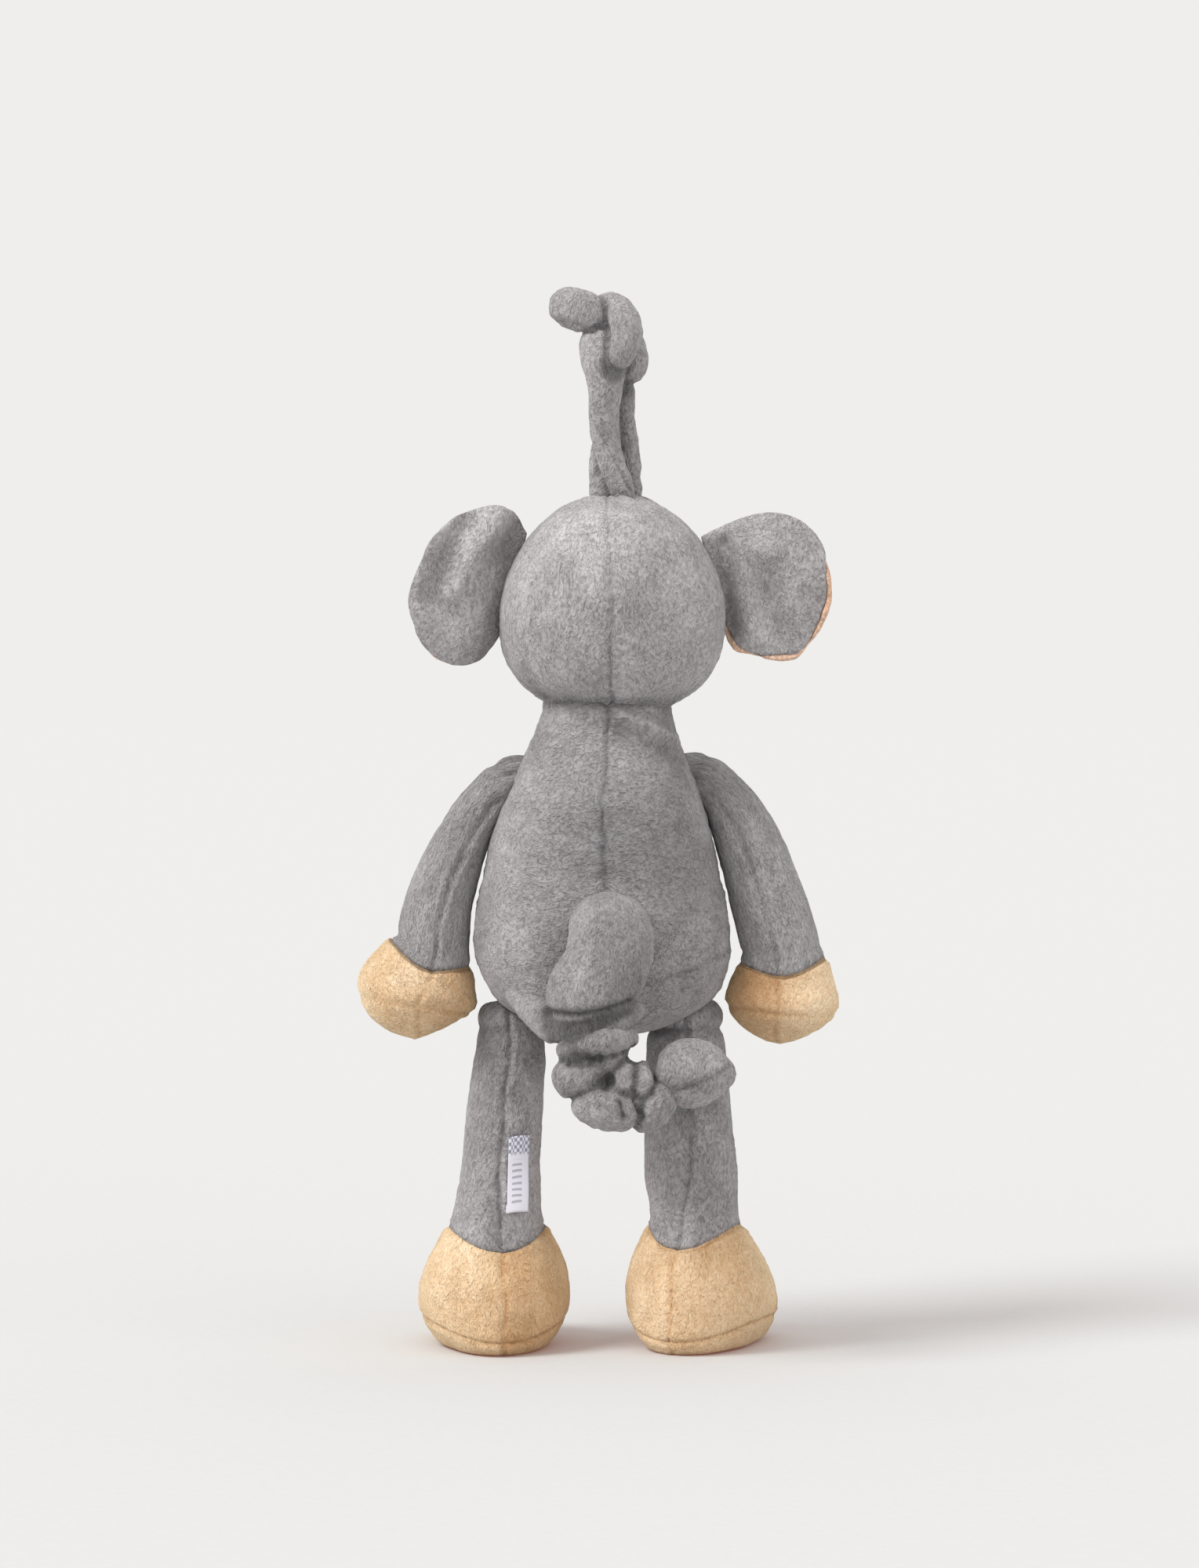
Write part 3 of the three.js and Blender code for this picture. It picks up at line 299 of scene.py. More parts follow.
def lengths_along(points):
    """How far along a line each of its points lies."""
    return np.concatenate([[0], np.cumsum(np.linalg.norm(np.diff(points, axis=0), axis=1))])


def resampled(points, run, wanted):
    """Rows of numbers, known at the lengths in run, at the wanted lengths."""
    return np.stack([np.interp(wanted, run, column) for column in points.T], axis=1)


def unit(vectors):
    return vectors / np.linalg.norm(vectors, axis=-1, keepdims=True)


def evenly(knots, step, measure=3):
    """Points along a smooth line through knots, at even steps of its first coordinates' length."""
    fine = spline(knots, np.linspace(0, len(knots) - 1, 40 * len(knots)))
    run = lengths_along(fine[:, :measure])
    wanted = np.linspace(0, run[-1], max(int(round(run[-1] / step)), 4) + 1)
    return resampled(fine, run, wanted), wanted


class Shape:
    """A closed surface: points, faces, and what the material needs to know at each point."""

    def __init__(self, points, faces, nap=None):
        self.points = np.asarray(points, float)
        self.faces = faces
        self.nap = self.points.copy() if nap is None else np.asarray(nap, float)
        self.groove = np.zeros(len(self.points))

    def normals(self):
        total = np.zeros_like(self.points)
        for faces in self.faces:
            corners = [self.points[faces[:, k]] for k in range(faces.shape[1])]
            across = np.cross(corners[2] - corners[0], corners[-1] - corners[1])
            for k in range(faces.shape[1]):
                for axis in range(3):
                    total[:, axis] += np.bincount(faces[:, k], across[:, axis], len(total))
        return total / np.maximum(np.linalg.norm(total, axis=1, keepdims=True), 1e-9)

    def push(self, heights):
        """Moves every point out along its normal."""
        self.points += self.normals() * np.asarray(heights)[:, None]
        return self

    def seam(self, distance, depth=0.7, width=0.8, lip=0.3, shade=0.6):
        """Draws the surface in along a line of stitches, with the pile standing up beside it, and paints
        shade along the seam.
        """
        wander = distance + 0.45 * value_noise(self.nap / 4, 301) + 0.35 * value_noise(self.nap / 1.7, 302)
        gaps = 0.75 + 0.35 * value_noise(self.nap / 2.2, 303)
        near = hill(wander, width) * gaps
        beside = hill(np.abs(wander) - 2.4 * width, width) * (0.6 + 0.8 * value_noise(self.nap / 1.9, 304))
        self.groove = np.maximum(self.groove, near * shade)
        return self.push(lip * beside - depth * near)

    def brushed_and_painted_light(self, light):
        """Painted light in the pile's colour, or, below zero, painted shade: it stands for light and shadow
        that fall on the toy, and for the lie of the nap.
        """
        self.groove = self.groove - light
        return self

    def pile(self, seed, lumps=0.7, tufts=0.2):
        """Stuffing lumps and tufts of pile."""
        along = self.nap * (1, 1, 0.6)
        height = lumps * value_noise(self.nap / 19, seed)
        height = height + 0.45 * lumps * value_noise(self.nap / 9, seed + 1)
        fine = value_noise(along / 1.9, seed + 2) + 0.7 * value_noise(along / 1.05, seed + 3)
        patch = 0.6 + 0.4 * value_noise(self.nap / 13, seed + 4)
        return self.push(height + 1.5 * tufts * fine * patch)


def rings_shape(rings, nap=None):
    """A closed skin over rings of points, with a pole at each end."""
    rows, sides = rings.shape[:2]
    ring = np.arange(sides)
    following = np.roll(ring, -1)
    base = (np.arange(rows - 1) * sides)[:, None]
    corners = [base + ring, base + following, base + sides + following, base + sides + ring]
    quads = np.stack(corners, axis=-1).reshape(-1, 4)
    poles = np.stack([rings[0].mean(axis=0), rings[-1].mean(axis=0)])
    low, high = rows * sides, rows * sides + 1
    top = (rows - 1) * sides
    fans = np.concatenate([
        np.stack([np.full(sides, low), following, ring], axis=1),
        np.stack([np.full(sides, high), top + ring, top + following], axis=1),
    ])
    points = np.concatenate([rings.reshape(-1, 3), poles])
    if nap is not None:
        ends = np.stack([nap[0].mean(axis=0), nap[-1].mean(axis=0)])
        nap = np.concatenate([nap.reshape(-1, 3), ends])
    a, b, c = (points[quads[:, k]] for k in range(3))
    if np.einsum("ij,ij->i", a, np.cross(b, c)).sum() < 0:
        quads = quads[:, ::-1]
        fans = fans[:, ::-1]
    return Shape(points, [quads, fans], nap)


def angles(count):
    return np.linspace(0, 2 * np.pi, count, endpoint=False)


def row_shape(rows, step=1.1):
    """A soft body from level rows of height, half width, half depth, and the middle's y and x."""
    rows = np.asarray(rows, float)
    first, last = rows[0].copy(), rows[-1].copy()
    first[1:3] = 0.25
    last[1:3] = 0.25
    knots = np.concatenate([[first], rows, [last]])
    line, _ = evenly(knots, step, measure=2)
    turn = angles(int(2 * np.pi * rows[:, 1].max() / step))
    z, wide, deep, y, x = (line[:, k, None] for k in range(5))
    rings = np.stack([
        x + np.maximum(wide, 0.2) * np.cos(turn),
        y + np.maximum(deep, 0.2) * np.sin(turn),
        z + 0 * turn,
    ], axis=-1)
    return rings_shape(rings)


def tube(line, step=1.0, depth=1.0, twist=0.0, ends=(True, True)):
    """A soft tube along points of x, y, z and radius, round at the ends that are closed."""
    path, run = evenly(line, step)
    centre = path[:, :3]
    radius = np.maximum(path[:, 3], 0.3)
    length = run[-1]
    for closed, away in zip(ends, (run, length - run)):
        if closed:
            reach = radius * 0.9
            inside = np.clip(away / reach, 0, 1)
            radius = radius * np.sqrt(np.clip(1 - (1 - inside) ** 2, 0.002, 1))
    tangent = unit(np.gradient(centre, axis=0))
    side = np.zeros_like(tangent)
    v = np.array([0.0, 1.0, 0.0]) if abs(tangent[0, 1]) < 0.8 else np.array([0.0, 0.0, 1.0])
    for i, t in enumerate(tangent):
        v = unit(v - t * (v @ t))
        side[i] = v
    across = np.cross(side, tangent)
    turned = math.radians(twist) * run / length
    u = across * np.cos(turned)[:, None] + side * np.sin(turned)[:, None]
    w = side * np.cos(turned)[:, None] - across * np.sin(turned)[:, None]
    turn = angles(max(int(2 * np.pi * radius.max() / step), 16))
    c, s = np.cos(turn)[None, :, None], np.sin(turn)[None, :, None]
    reach = radius[:, None, None]
    deep = np.broadcast_to(np.asarray(depth, float), radius.shape)[:, None, None]
    rings = centre[:, None, :] + u[:, None, :] * reach * c + w[:, None, :] * reach * deep * s
    widest = radius.max()
    nap = np.stack(np.broadcast_arrays(
        widest * c[..., 0] + centre[0, 0], widest * s[..., 0] + centre[0, 1], -run[:, None] + centre[0, 2],
    ), axis=-1)
    made = rings_shape(rings, nap)
    made.turn = np.concatenate([np.broadcast_to(turn, rings.shape[:2]).ravel(), [0, 0]])
    made.run = np.concatenate([np.repeat(run, len(turn)), [0, length]])
    return made


def build(name, shape, look):
    """A Blender object from a shape."""
    mesh = bpy.data.meshes.new(name)
    faces = [row for faces in shape.faces for row in faces.tolist()]
    mesh.from_pydata(metres(shape.points).tolist(), [], faces)
    mesh.polygons.foreach_set("use_smooth", np.ones(len(faces), bool))
    nap = mesh.attributes.new("nap", "FLOAT_VECTOR", "POINT")
    nap.data.foreach_set("vector", shape.nap.astype(np.float32).ravel())
    groove = mesh.attributes.new("groove", "FLOAT", "POINT")
    groove.data.foreach_set("value", shape.groove.astype(np.float32))
    mesh.materials.append(look)
    mesh.validate()
    return link(name, mesh)


def joined(shapes):
    """Several shapes as one."""
    offset = 0
    faces = []
    for shape in shapes:
        faces += [f + offset for f in shape.faces]
        offset += len(shape.points)
    points = np.concatenate([s.points for s in shapes])
    made = Shape(points, faces, np.concatenate([s.nap for s in shapes]))
    made.groove = np.concatenate([s.groove for s in shapes])
    return made


def fused(strands, voxel, rounds=1):
    """Soft strands pressed together into one skin, with the creases between them kept and given painted
    shade.
    """
    whole = joined([tube(line, voxel * 1.2, **settings) for line, settings in strands])
    item = build("fusing", whole, GREY)
    remesh = item.modifiers.new("skin", "REMESH")
    remesh.mode = "VOXEL"
    remesh.voxel_size = voxel / 1000
    relax = item.modifiers.new("relax", "SMOOTH")
    relax.iterations = rounds
    relax.factor = 0.5
    ready = item.evaluated_get(bpy.context.evaluated_depsgraph_get()).to_mesh()
    points = np.zeros(len(ready.vertices) * 3)
    ready.vertices.foreach_get("co", points)
    sizes = np.zeros(len(ready.polygons), int)
    ready.polygons.foreach_get("loop_total", sizes)
    loops = np.zeros(len(ready.loops), int)
    ready.loops.foreach_get("vertex_index", loops)
    starts = np.concatenate([[0], np.cumsum(sizes)[:-1]])
    faces = [loops[starts[sizes == k][:, None] + np.arange(k)] for k in (3, 4) if (sizes == k).any()]
    bpy.data.objects.remove(item)
    made = Shape(points.reshape(-1, 3) * 1000 - SPINE, faces)
    away = []
    for line, _ in strands:
        path, _ = evenly(line, 1.0)
        gap = np.full(len(made.points), 1e9)
        for *centre, radius in path:
            gap = np.minimum(gap, np.linalg.norm(made.points - centre, axis=1) - radius * 0.94)
        away.append(gap)
    second = np.sort(np.array(away), axis=0)[1]
    # painted shade in the creases between the strands
    made.groove = 0.9 * hill(np.clip(second, 0, None), 1.3)
    return made.push(-0.9 * hill(np.clip(second, 0, None), 1.1))


def vertices_of(mesh):
    points = np.zeros(len(mesh.vertices) * 3)
    mesh.vertices.foreach_get("co", points)
    return points.reshape(-1, 3)


def tree_of(points):
    tree = KDTree(len(points))
    for i, point in enumerate(points):
        tree.insert(point, i)
    tree.balance()
    return tree


CLOTH_FRAMES = 20
# the groove from which the cloth is held as sewn
SEWN = 0.3
# the fine skin follows this many points of the cloth, weighed by distance plus a few tenths of a millimetre
NEIGHBOURS = 5
SOFTENING = 0.0005


def stuffed(shape, cell=4.5, cap=1.2, pressure=1500.0):
    """Swells a skin as cloth round its filling. The seams hold, so the panels crown between them."""
    item = build("skin to swell", shape, GREY)
    remesh = item.modifiers.new("even cloth", "REMESH")
    remesh.mode = "VOXEL"
    remesh.voxel_size = cell / 1000
    mesh = bpy.data.meshes.new_from_object(item.evaluated_get(bpy.context.evaluated_depsgraph_get()))
    sheet = link("cloth", mesh)
    start = vertices_of(mesh)
    fine = tree_of(metres(shape.points))
    reach = 0.45 * cell / 1000
    sewn = [i for i, point in enumerate(start)
            if max((shape.groove[j] for _, j, _ in fine.find_range(point, reach)), default=0) > SEWN]
    sheet.vertex_groups.new(name="sewn").add(sewn, 1.0, "ADD")
    cloth = sheet.modifiers.new("cloth", "CLOTH")
    cloth.settings.use_pressure = True
    cloth.settings.uniform_pressure_force = pressure
    cloth.settings.effector_weights.gravity = 0.0
    cloth.settings.vertex_group_mass = "sewn"
    cloth.point_cache.frame_start = 1
    cloth.point_cache.frame_end = CLOTH_FRAMES
    for frame_number in range(1, CLOTH_FRAMES + 1):
        bpy.context.scene.frame_set(frame_number)
    moved = vertices_of(sheet.evaluated_get(bpy.context.evaluated_depsgraph_get()).data) - start
    bpy.context.scene.frame_set(1)
    length = np.linalg.norm(moved, axis=1, keepdims=True)
    moved *= np.minimum(1, cap / 1000 / np.maximum(length, 1e-9))
    coarse = tree_of(start)
    for row, point in enumerate(metres(shape.points)):
        near = coarse.find_n(point, NEIGHBOURS)
        shares = np.array([1 / (distance + SOFTENING) for _, _, distance in near])
        shape.points[row] += 1000 * shares @ moved[[index for _, index, _ in near]] / shares.sum()
    for used in (sheet, item):
        bpy.data.objects.remove(used)
    return shape


# -------------------- torso

TORSO_ROWS = [
    [100.5, 6, 5, 0, -0.8], [101.6, 15, 12, 0, -0.8], [104.5, 24, 19, 0.5, -0.8], [109, 31.5, 24, 1, -0.8],
    [116, 37, 27.5, 1.5, -0.8], [124, 39.8, 29.5, 2, -0.8], [133, 40.5, 30, 2, -0.8],
    [143, 39.8, 29.5, 2, -0.8], [155, 37.5, 28, 1.5, -0.7], [168, 34.2, 25.8, 1, -0.5],
    [180, 29.6, 23.4, 0.5, 0], [190, 25.4, 21, 0, 0.5], [198, 22, 19.2, 0, 0.8], [203, 20.2, 18.5, 0, 0.9],
    [209, 19, 17.2, 0, 0.9], [215, 15.6, 14.2, 0, 0.9],
]
HIPS = {"left": np.array([-30.2, 8.0, 100.0]), "right": np.array([26.2, 8.0, 100.0])}
THIGH = 13.0
THIGH_SLOPE = math.radians(30)
ARM_Y = 5.0
UNDER_ARM_Z = 173.0


def under_thigh_room(points):
    """Raises the torso's underside over the thighs, as far as they swing."""
    for hip in HIPS.values():
        ahead = points[:, 1] - hip[1]
        dome = np.sqrt(np.clip(THIGH**2 - ahead**2, 0, None))
        slope = THIGH / math.cos(THIGH_SLOPE) - ahead * math.tan(THIGH_SLOPE)
        roof = hip[2] + np.where(ahead > THIGH * 0.5, slope, dome)
        covered = smooth((ahead + THIGH) / 3) * smooth((19 - np.abs(points[:, 0] - hip[0])) / 7)
        rise = np.clip(roof + 0.5 - points[:, 2], 0, None) * covered
        points[:, 2] += np.where(points[:, 2] < hip[2] + 22, rise, 0)


def centre_seam(z, at):
    return at + 0.5 * np.sin(z / 7.3) + 0.3 * np.sin(z / 2.9 + 1)


def make_torso():
    shape = row_shape(TORSO_ROWS)
    under_thigh_room(shape.points)
    shape.nap = shape.points[:, ::-1].copy()
    x, y, z = shape.points.T.copy()
    back = smooth(-y / 8)
    ridge = (z - 202) + 0.44 * (x - 5)
    reach = smooth((x - 1) / 5) * smooth((28 - x) / 8)
    shape.push(2.7 * hill(ridge, 1.9) * reach * back - 1.8 * hill(ridge + 4.4, 2.6) * reach * back)
    shape.push(-0.8 * hill(z - 203.5, 1.6) * smooth((14 - np.abs(x + 6)) / 10) * back)
    for side in (-1, 1):
        shape.push(-0.6 * hill(np.hypot(y - ARM_Y, z - UNDER_ARM_Z), 9) * (np.sign(x) == side))
    shape.pile(11, lumps=0.85)
    seam_x = centre_seam(z, -0.4 + 0.9 * smooth((z - 150) / 60))
    shape.seam(np.where(y < 0, x - seam_x, FAR), depth=0.85)
    seat_side = 0.35 + 0.65 * smooth((x + 2) / 10)
    seat = 117.4 + 0.0065 * x**2 + 0.4 * np.sin(x / 3.1)
    shape.seam(z - seat + np.where(y < -2, 0, FAR), depth=0.8 * seat_side, shade=0.55 * seat_side)
    shape.seam(np.where(z < 200, y - 2 - 0.5 * np.sin(z / 6), FAR), depth=0.7)
    stuffed(shape)
    under_thigh_room(shape.points)
    # painted highlight along the ridge of the fold at the neck, and painted shade below it
    shape.brushed_and_painted_light(0.6 * hill(ridge - 0.8, 1.8) * reach * back - 0.4 * hill(ridge + 5, 3) * reach * back)
    # painted shade along the neck line under the head
    shape.brushed_and_painted_light(-0.7 * hill(z - 206.4, 1.6) * back)
    # a patch of painted shade over the middle of the back, and a smaller one low on the left
    painted_shade_patch = hill(np.hypot((x - 1) / 1.3, (z - 164) / 1.1), 17) + 0.5 * hill(np.hypot(x + 14, z - 128), 10)
    # a lighter band along the seat and a lighter right edge
    shape.brushed_and_painted_light(0.25 * hill(z - 111, 5) * back + 0.16 * smooth((x - 24) / 10))
    # painted light on the left side, where the key light falls; the rest a little darker
    return shape.brushed_and_painted_light(0.3 * smooth((-x - 20) / 16) - 0.08 - 0.45 * painted_shade_patch)


torso = build("torso_plush", make_torso(), GREY)


# -------------------- head

HEAD_X = 2.6
HEAD_ROWS = [[*row, HEAD_X] for row in (
    (204, 14, 12, 0), (206, 20, 18, 0.4), (211, 27.4, 24, 0.8), (216, 31.6, 27.8, 1), (222, 34.5, 30.4, 1),
    (229, 35.8, 31.6, 1), (236, 35.8, 31.6, 1), (243, 34.6, 30.6, 1), (250, 32.2, 28.6, 0.6),
    (257, 28.6, 25.6, 0), (263, 23.6, 21.4, -0.4), (268, 17.2, 15.8, -0.6), (271.4, 10, 9.4, -0.6),
    (272.8, 3.4, 3.2, -0.6),
)]
LOOP_FOOT = (3.0, -0.6, 274.0)


def on_head(x, z, lift=0.0):
    """The y of the head's front over a point of the face."""
    rows = np.array(HEAD_ROWS)
    wide, deep, middle = (np.interp(z, rows[:, 0], rows[:, k]) for k in (1, 2, 3))
    inside = np.clip(1 - ((x - HEAD_X) / wide) ** 2, 0.01, 1)
    return middle + deep * np.sqrt(inside) + lift


def make_head():
    shape = row_shape(HEAD_ROWS)
    x, y, z = shape.points.T.copy()
    shape.pile(31, lumps=0.75)
    round_crown = np.hypot(x - LOOP_FOOT[0], y - LOOP_FOOT[1])
    bearing = np.arctan2(y - LOOP_FOOT[1], x - LOOP_FOOT[0])
    gathers = np.sin(9 * bearing + 2 * value_noise(shape.points / 8, 5))
    shape.push(0.45 * gathers * hill(round_crown - 11, 6) * (z > 255))
    seam_x = centre_seam(z, 2.2 - 1.0 * smooth((z - 215) / 40))
    shape.seam(np.where(y < 0, x - seam_x, FAR), depth=0.95)
    drop = 5 - 12 * smooth((235 - z) / 28)
    side = (y - drop) / np.sqrt(1 + 0.3 * smooth((235 - z) / 10))
    shape.seam(side, depth=0.75)
    shape.push(-0.7 * hill(z - 208.5, 1.5) * smooth(-y / 10))
    stuffed(shape)
    # painted shade along the line where the head meets the neck
    shape.brushed_and_painted_light(-0.8 * hill(z - 206.6, 1.6) * smooth(-y / 10))
    # painted light over the crown, less towards the right; a lighter streak low on the back, and the whole
    # head a little lighter, more so near the bottom
    crown = smooth((z - 228) / 26) * (1 - 0.5 * smooth((x - 22) / 10) - 0.2 * smooth((-x - 8) / 10))
    streak = hill(x - 6 - 1.2 * value_noise(shape.points / 3, 7), 3.4) * smooth((238 - z) / 12)
    return shape.brushed_and_painted_light(0.65 * crown + 0.2 * streak + 0.1 + 0.12 * smooth((226 - z) / 10))


head = build("head_plush", make_head(), GREY)


# -------------------- ears

# root: its top and its bottom. outline: from the top of the root round to its bottom.
# folds: from, to, height towards the back, width. wrap: how far the lining shows round the edge.
EARS = {
    "left": {
        "side": -1, "sweep": 26, "root": ((-24.5, 261.5), (-33, 230.5)), "wrap": 0.9,
        "outline": [
            [-24.8, 260.5], [-27, 265], [-31.5, 268.4], [-37, 269.4], [-46.5, 265.5], [-53, 260.5],
            [-57.5, 254.5], [-60.8, 247], [-62.7, 239], [-61, 230.5], [-58, 225], [-54, 220.5], [-49, 218.4],
            [-43, 218.6], [-38.5, 221], [-34.5, 226.5], [-32.6, 231],
        ],
        "folds": [
            [[-35, 266], [-51, 243], 2.8, 4.4], [[-45, 263], [-56, 241], -2.6, 4.0],
            [[-59, 252], [-60, 232], 1.4, 4], [[-40, 240], [-46, 222], 1.2, 5],
            [[-28, 262], [-33, 254], -2.2, 3.4],
        ],
    },
    "right": {
        "side": 1, "sweep": 8, "root": ((31, 260), (38.5, 228.5)), "wrap": 1.5,
        "outline": [
            [31, 259.5], [38, 262.8], [46, 266.2], [53.5, 267.2], [61, 265.4], [67, 260.5], [70.3, 254.5],
            [72, 247], [72.3, 240], [71.2, 235.5], [69, 230.3], [65.7, 225.3], [61, 220.8], [53, 220.2],
            [47, 221.6], [42, 223.2], [38.5, 228.3],
        ],
        "folds": [
            [[37, 260], [53, 254], 2.2, 4.2], [[38, 257], [40.5, 230], -2.8, 3.2],
            [[46, 251], [46.5, 227], 1.6, 4], [[58, 262], [69, 246], 0.9, 5],
            [[54, 240], [58, 224], -1.2, 4],
        ],
    },
}
EAR_ROOT_Y = 5.0


def turned(v, axis, angle):
    c, s = math.cos(angle), math.sin(angle)
    return v * c + np.cross(axis, v) * s + axis * (axis @ v) * (1 - c)


def ear_frame(name):
    """The middle of an ear's root, its line upwards, the way outwards and the way to its back."""
    ear = EARS[name]
    top, bottom = (np.array([p[0], EAR_ROOT_Y, p[1]]) for p in ear["root"])
    up = unit(top - bottom)
    out = np.array([ear["side"], 0.0, 0.0])
    out = unit(out - up * (out @ up))
    back = np.array([0.0, -1.0, 0.0])
    turn = math.radians(-ear["side"] * ear["sweep"])
    return (top + bottom) / 2, up, turned(out, up, turn), turned(back, up, turn)


def from_line(points, a, b):
    """Distance of flat points from the stretch a to b."""
    a, b = np.array(a, float), np.array(b, float)
    share = np.clip(((points - a) @ (b - a)) / ((b - a) @ (b - a)), 0, 1)
    return np.linalg.norm(points - a - share[:, None] * (b - a), axis=1)


def near_lines(points, lines, width):
    """How near points are to any of some lines, as they are seen from behind."""
    flat = points[:, [0, 2]]
    return hill(np.min([from_line(flat, a, b) for a, b in lines], axis=0), width)


def ear_layer(name, grey, seed):
    """One layer of an ear: its face, and the side that lies on the other layer."""
    ear = EARS[name]
    middle, up, out, back = ear_frame(name)
    edge, _ = evenly([[x, z, 0] for x, z in ear["outline"]], 0.9)
    closing, _ = evenly([[*edge[-1, :2], 0], [*edge[0, :2], 0]], 0.9)
    edge = np.concatenate([edge, closing[1:-1]])[:, :2]
    heart = edge.mean(axis=0)
    spokes = edge - heart
    reach = np.linalg.norm(spokes, axis=1, keepdims=True)
    way = spokes / reach
    low = smooth((-0.35 - way[:, 1]) / 0.3)
    outer = smooth((way[:, 0] * ear["side"] - 0.6) / 0.3) * smooth((0.55 - way[:, 1]) / 0.5)
    shown = 0.6 * smooth((-0.8 - way[:, 1]) / 0.15) if name == "left" else np.maximum(low, outer)
    shown = shown * (0.85 + 0.3 * np.sin(way[:, 0] * 9))
    shown = shown * smooth((np.linalg.norm(edge - edge[-2], axis=1) - 4) / 5)
    wrap = ear["wrap"] * shown[:, None]
    tuck = 0.9 * (1 - shown)[:, None]
    rings = []
    for share in np.linspace(0.04, 1, 26):
        crown = 1 - share**5
        if grey:
            rings.append((share * (reach - wrap), 1.0 + 2.4 * crown))
        else:
            rings.append((share * (reach - tuck), -0.6 - 2.2 * crown))
    inner = reach - wrap
    outside = reach - tuck
    if grey:
        rings += [(inner - 0.2, 0.5), (inner - 3, 0.4), (inner * 0.3, 0.4)]
    else:
        rings += [(outside + 0.3 * shown[:, None], 0.1 * shown - 0.3)]
        rings += [(outside - 0.2, 1.2 * shown - 0.3)]
        rings += [(np.minimum(inner + 0.3, outside - 0.4), 1.3 * shown - 0.3)]
        rings += [(np.minimum(inner, outside) - 0.6, -0.3), (inner - 3, -0.3), (inner * 0.3, -0.3)]
    points = []
    naps = []
    base = middle[[0, 2]]
    for distance, depth in rings:
        flat = heart + way * distance
        height = np.zeros(len(flat)) + depth
        for a, b, rise, width in ear["folds"]:
            height = height + 1.3 * rise * hill(from_line(flat, a, b), width)
        offset = flat - base
        v = offset @ up[[0, 2]]
        u = (offset[:, 0] - v * up[0]) / out[0]
        points.append(middle + u[:, None] * out + v[:, None] * up + height[:, None] * back)
        naps.append(np.stack([u, height, v], axis=1) + middle)
    shape = rings_shape(np.array(points), np.array(naps))
    shape.pile(seed, lumps=0.25, tufts=0.16)
    if grey:
        # painted shade in the valleys of the back's folds and painted highlights on its high crests; the
        # whole back is made lighter
        valleys = [(a, b, -rise, width * 0.8) for a, b, rise, width in ear["folds"] if rise < 0]
        crests = [(a, b, width) for a, b, rise, width in ear["folds"] if rise > 2]
        dark = sum(drop * near_lines(shape.points, [(a, b)], width) for a, b, drop, width in valleys)
        light = sum(near_lines(shape.points, [(a, b)], width) for a, b, width in crests)
        shape.groove = np.clip(0.16 * dark, 0, 0.5) - 0.55 - 0.2 * light
    return shape


ears = {}
for number, name in enumerate(EARS):
    ears[name] = (
        build(f"{name}_ear_back", ear_layer(name, True, 51 + number), GREY),
        build(f"{name}_ear_front", ear_layer(name, False, 61 + number), PEACH),
    )


# -------------------- arms and hands

# the arms' lines, as x, z and radius
ARMS = {
    "left": {
        "side": -1, "seed": 71,
        "sleeve": [
            [-23, 182.6, 6.2], [-27.4, 182.6, 6.8], [-32.2, 180.6, 7.2], [-36.8, 176.4, 7.3],
            [-41.4, 170, 8.2], [-45.7, 162, 9], [-49.6, 153, 10], [-52.8, 144, 10.7], [-54.6, 135, 11.6],
            [-55.4, 128, 12.1],
        ],
        "hand": [
            [-57.6, 121.5, 16.4], [-59.8, 114.5, 19.6], [-61, 108, 18.9], [-61.3, 103, 15.4], [-61.4, 99, 9],
        ],
    },
    "right": {
        "side": 1, "seed": 81,
        "sleeve": [
            [22, 183, 6.2], [26, 183.2, 6.8], [31.6, 182.6, 7.4], [37.6, 177, 7.8], [41.7, 171, 8.9],
            [46.6, 160.5, 10.4], [49.9, 150.5, 11.5], [52.9, 141, 12.4], [55.9, 131, 12.7],
            [56.8, 125.5, 12.8],
        ],
        "hand": [
            [57.2, 119, 15.8], [57, 111.5, 18.6], [56.6, 105.5, 18.2], [56.4, 101, 14.6], [56.4, 97, 8.4],
        ],
    },
}
CUFF_DIP = 5.0


def parted(shape, rows, row):
    """The two closed skins above and below one ring of a shape, each with its cut end folded in."""
    sides = (len(shape.points) - 2) // rows
    grid = shape.points[:-2].reshape(rows, sides, 3)
    naps = shape.nap[:-2].reshape(rows, sides, 3)
    groove = shape.groove[:-2].reshape(rows, sides)
    parts = []
    for kept, cut in ((slice(0, row + 1), -1), (slice(row, None), 0)):
        points, nap, shade = grid[kept], naps[kept], groove[kept]
        centre = points[cut].mean(axis=0)
        lip = centre + (points[cut] - centre) * 0.8
        place = len(points) if cut else 0
        points = np.insert(points, place, lip, axis=0)
        nap = np.insert(nap, place, nap[cut], axis=0)
        shade = np.insert(shade, place, shade[cut], axis=0)
        part = rings_shape(points, nap)
        part.groove = np.concatenate([shade.ravel(), [0, 0]])
        parts.append(part)
    return parts


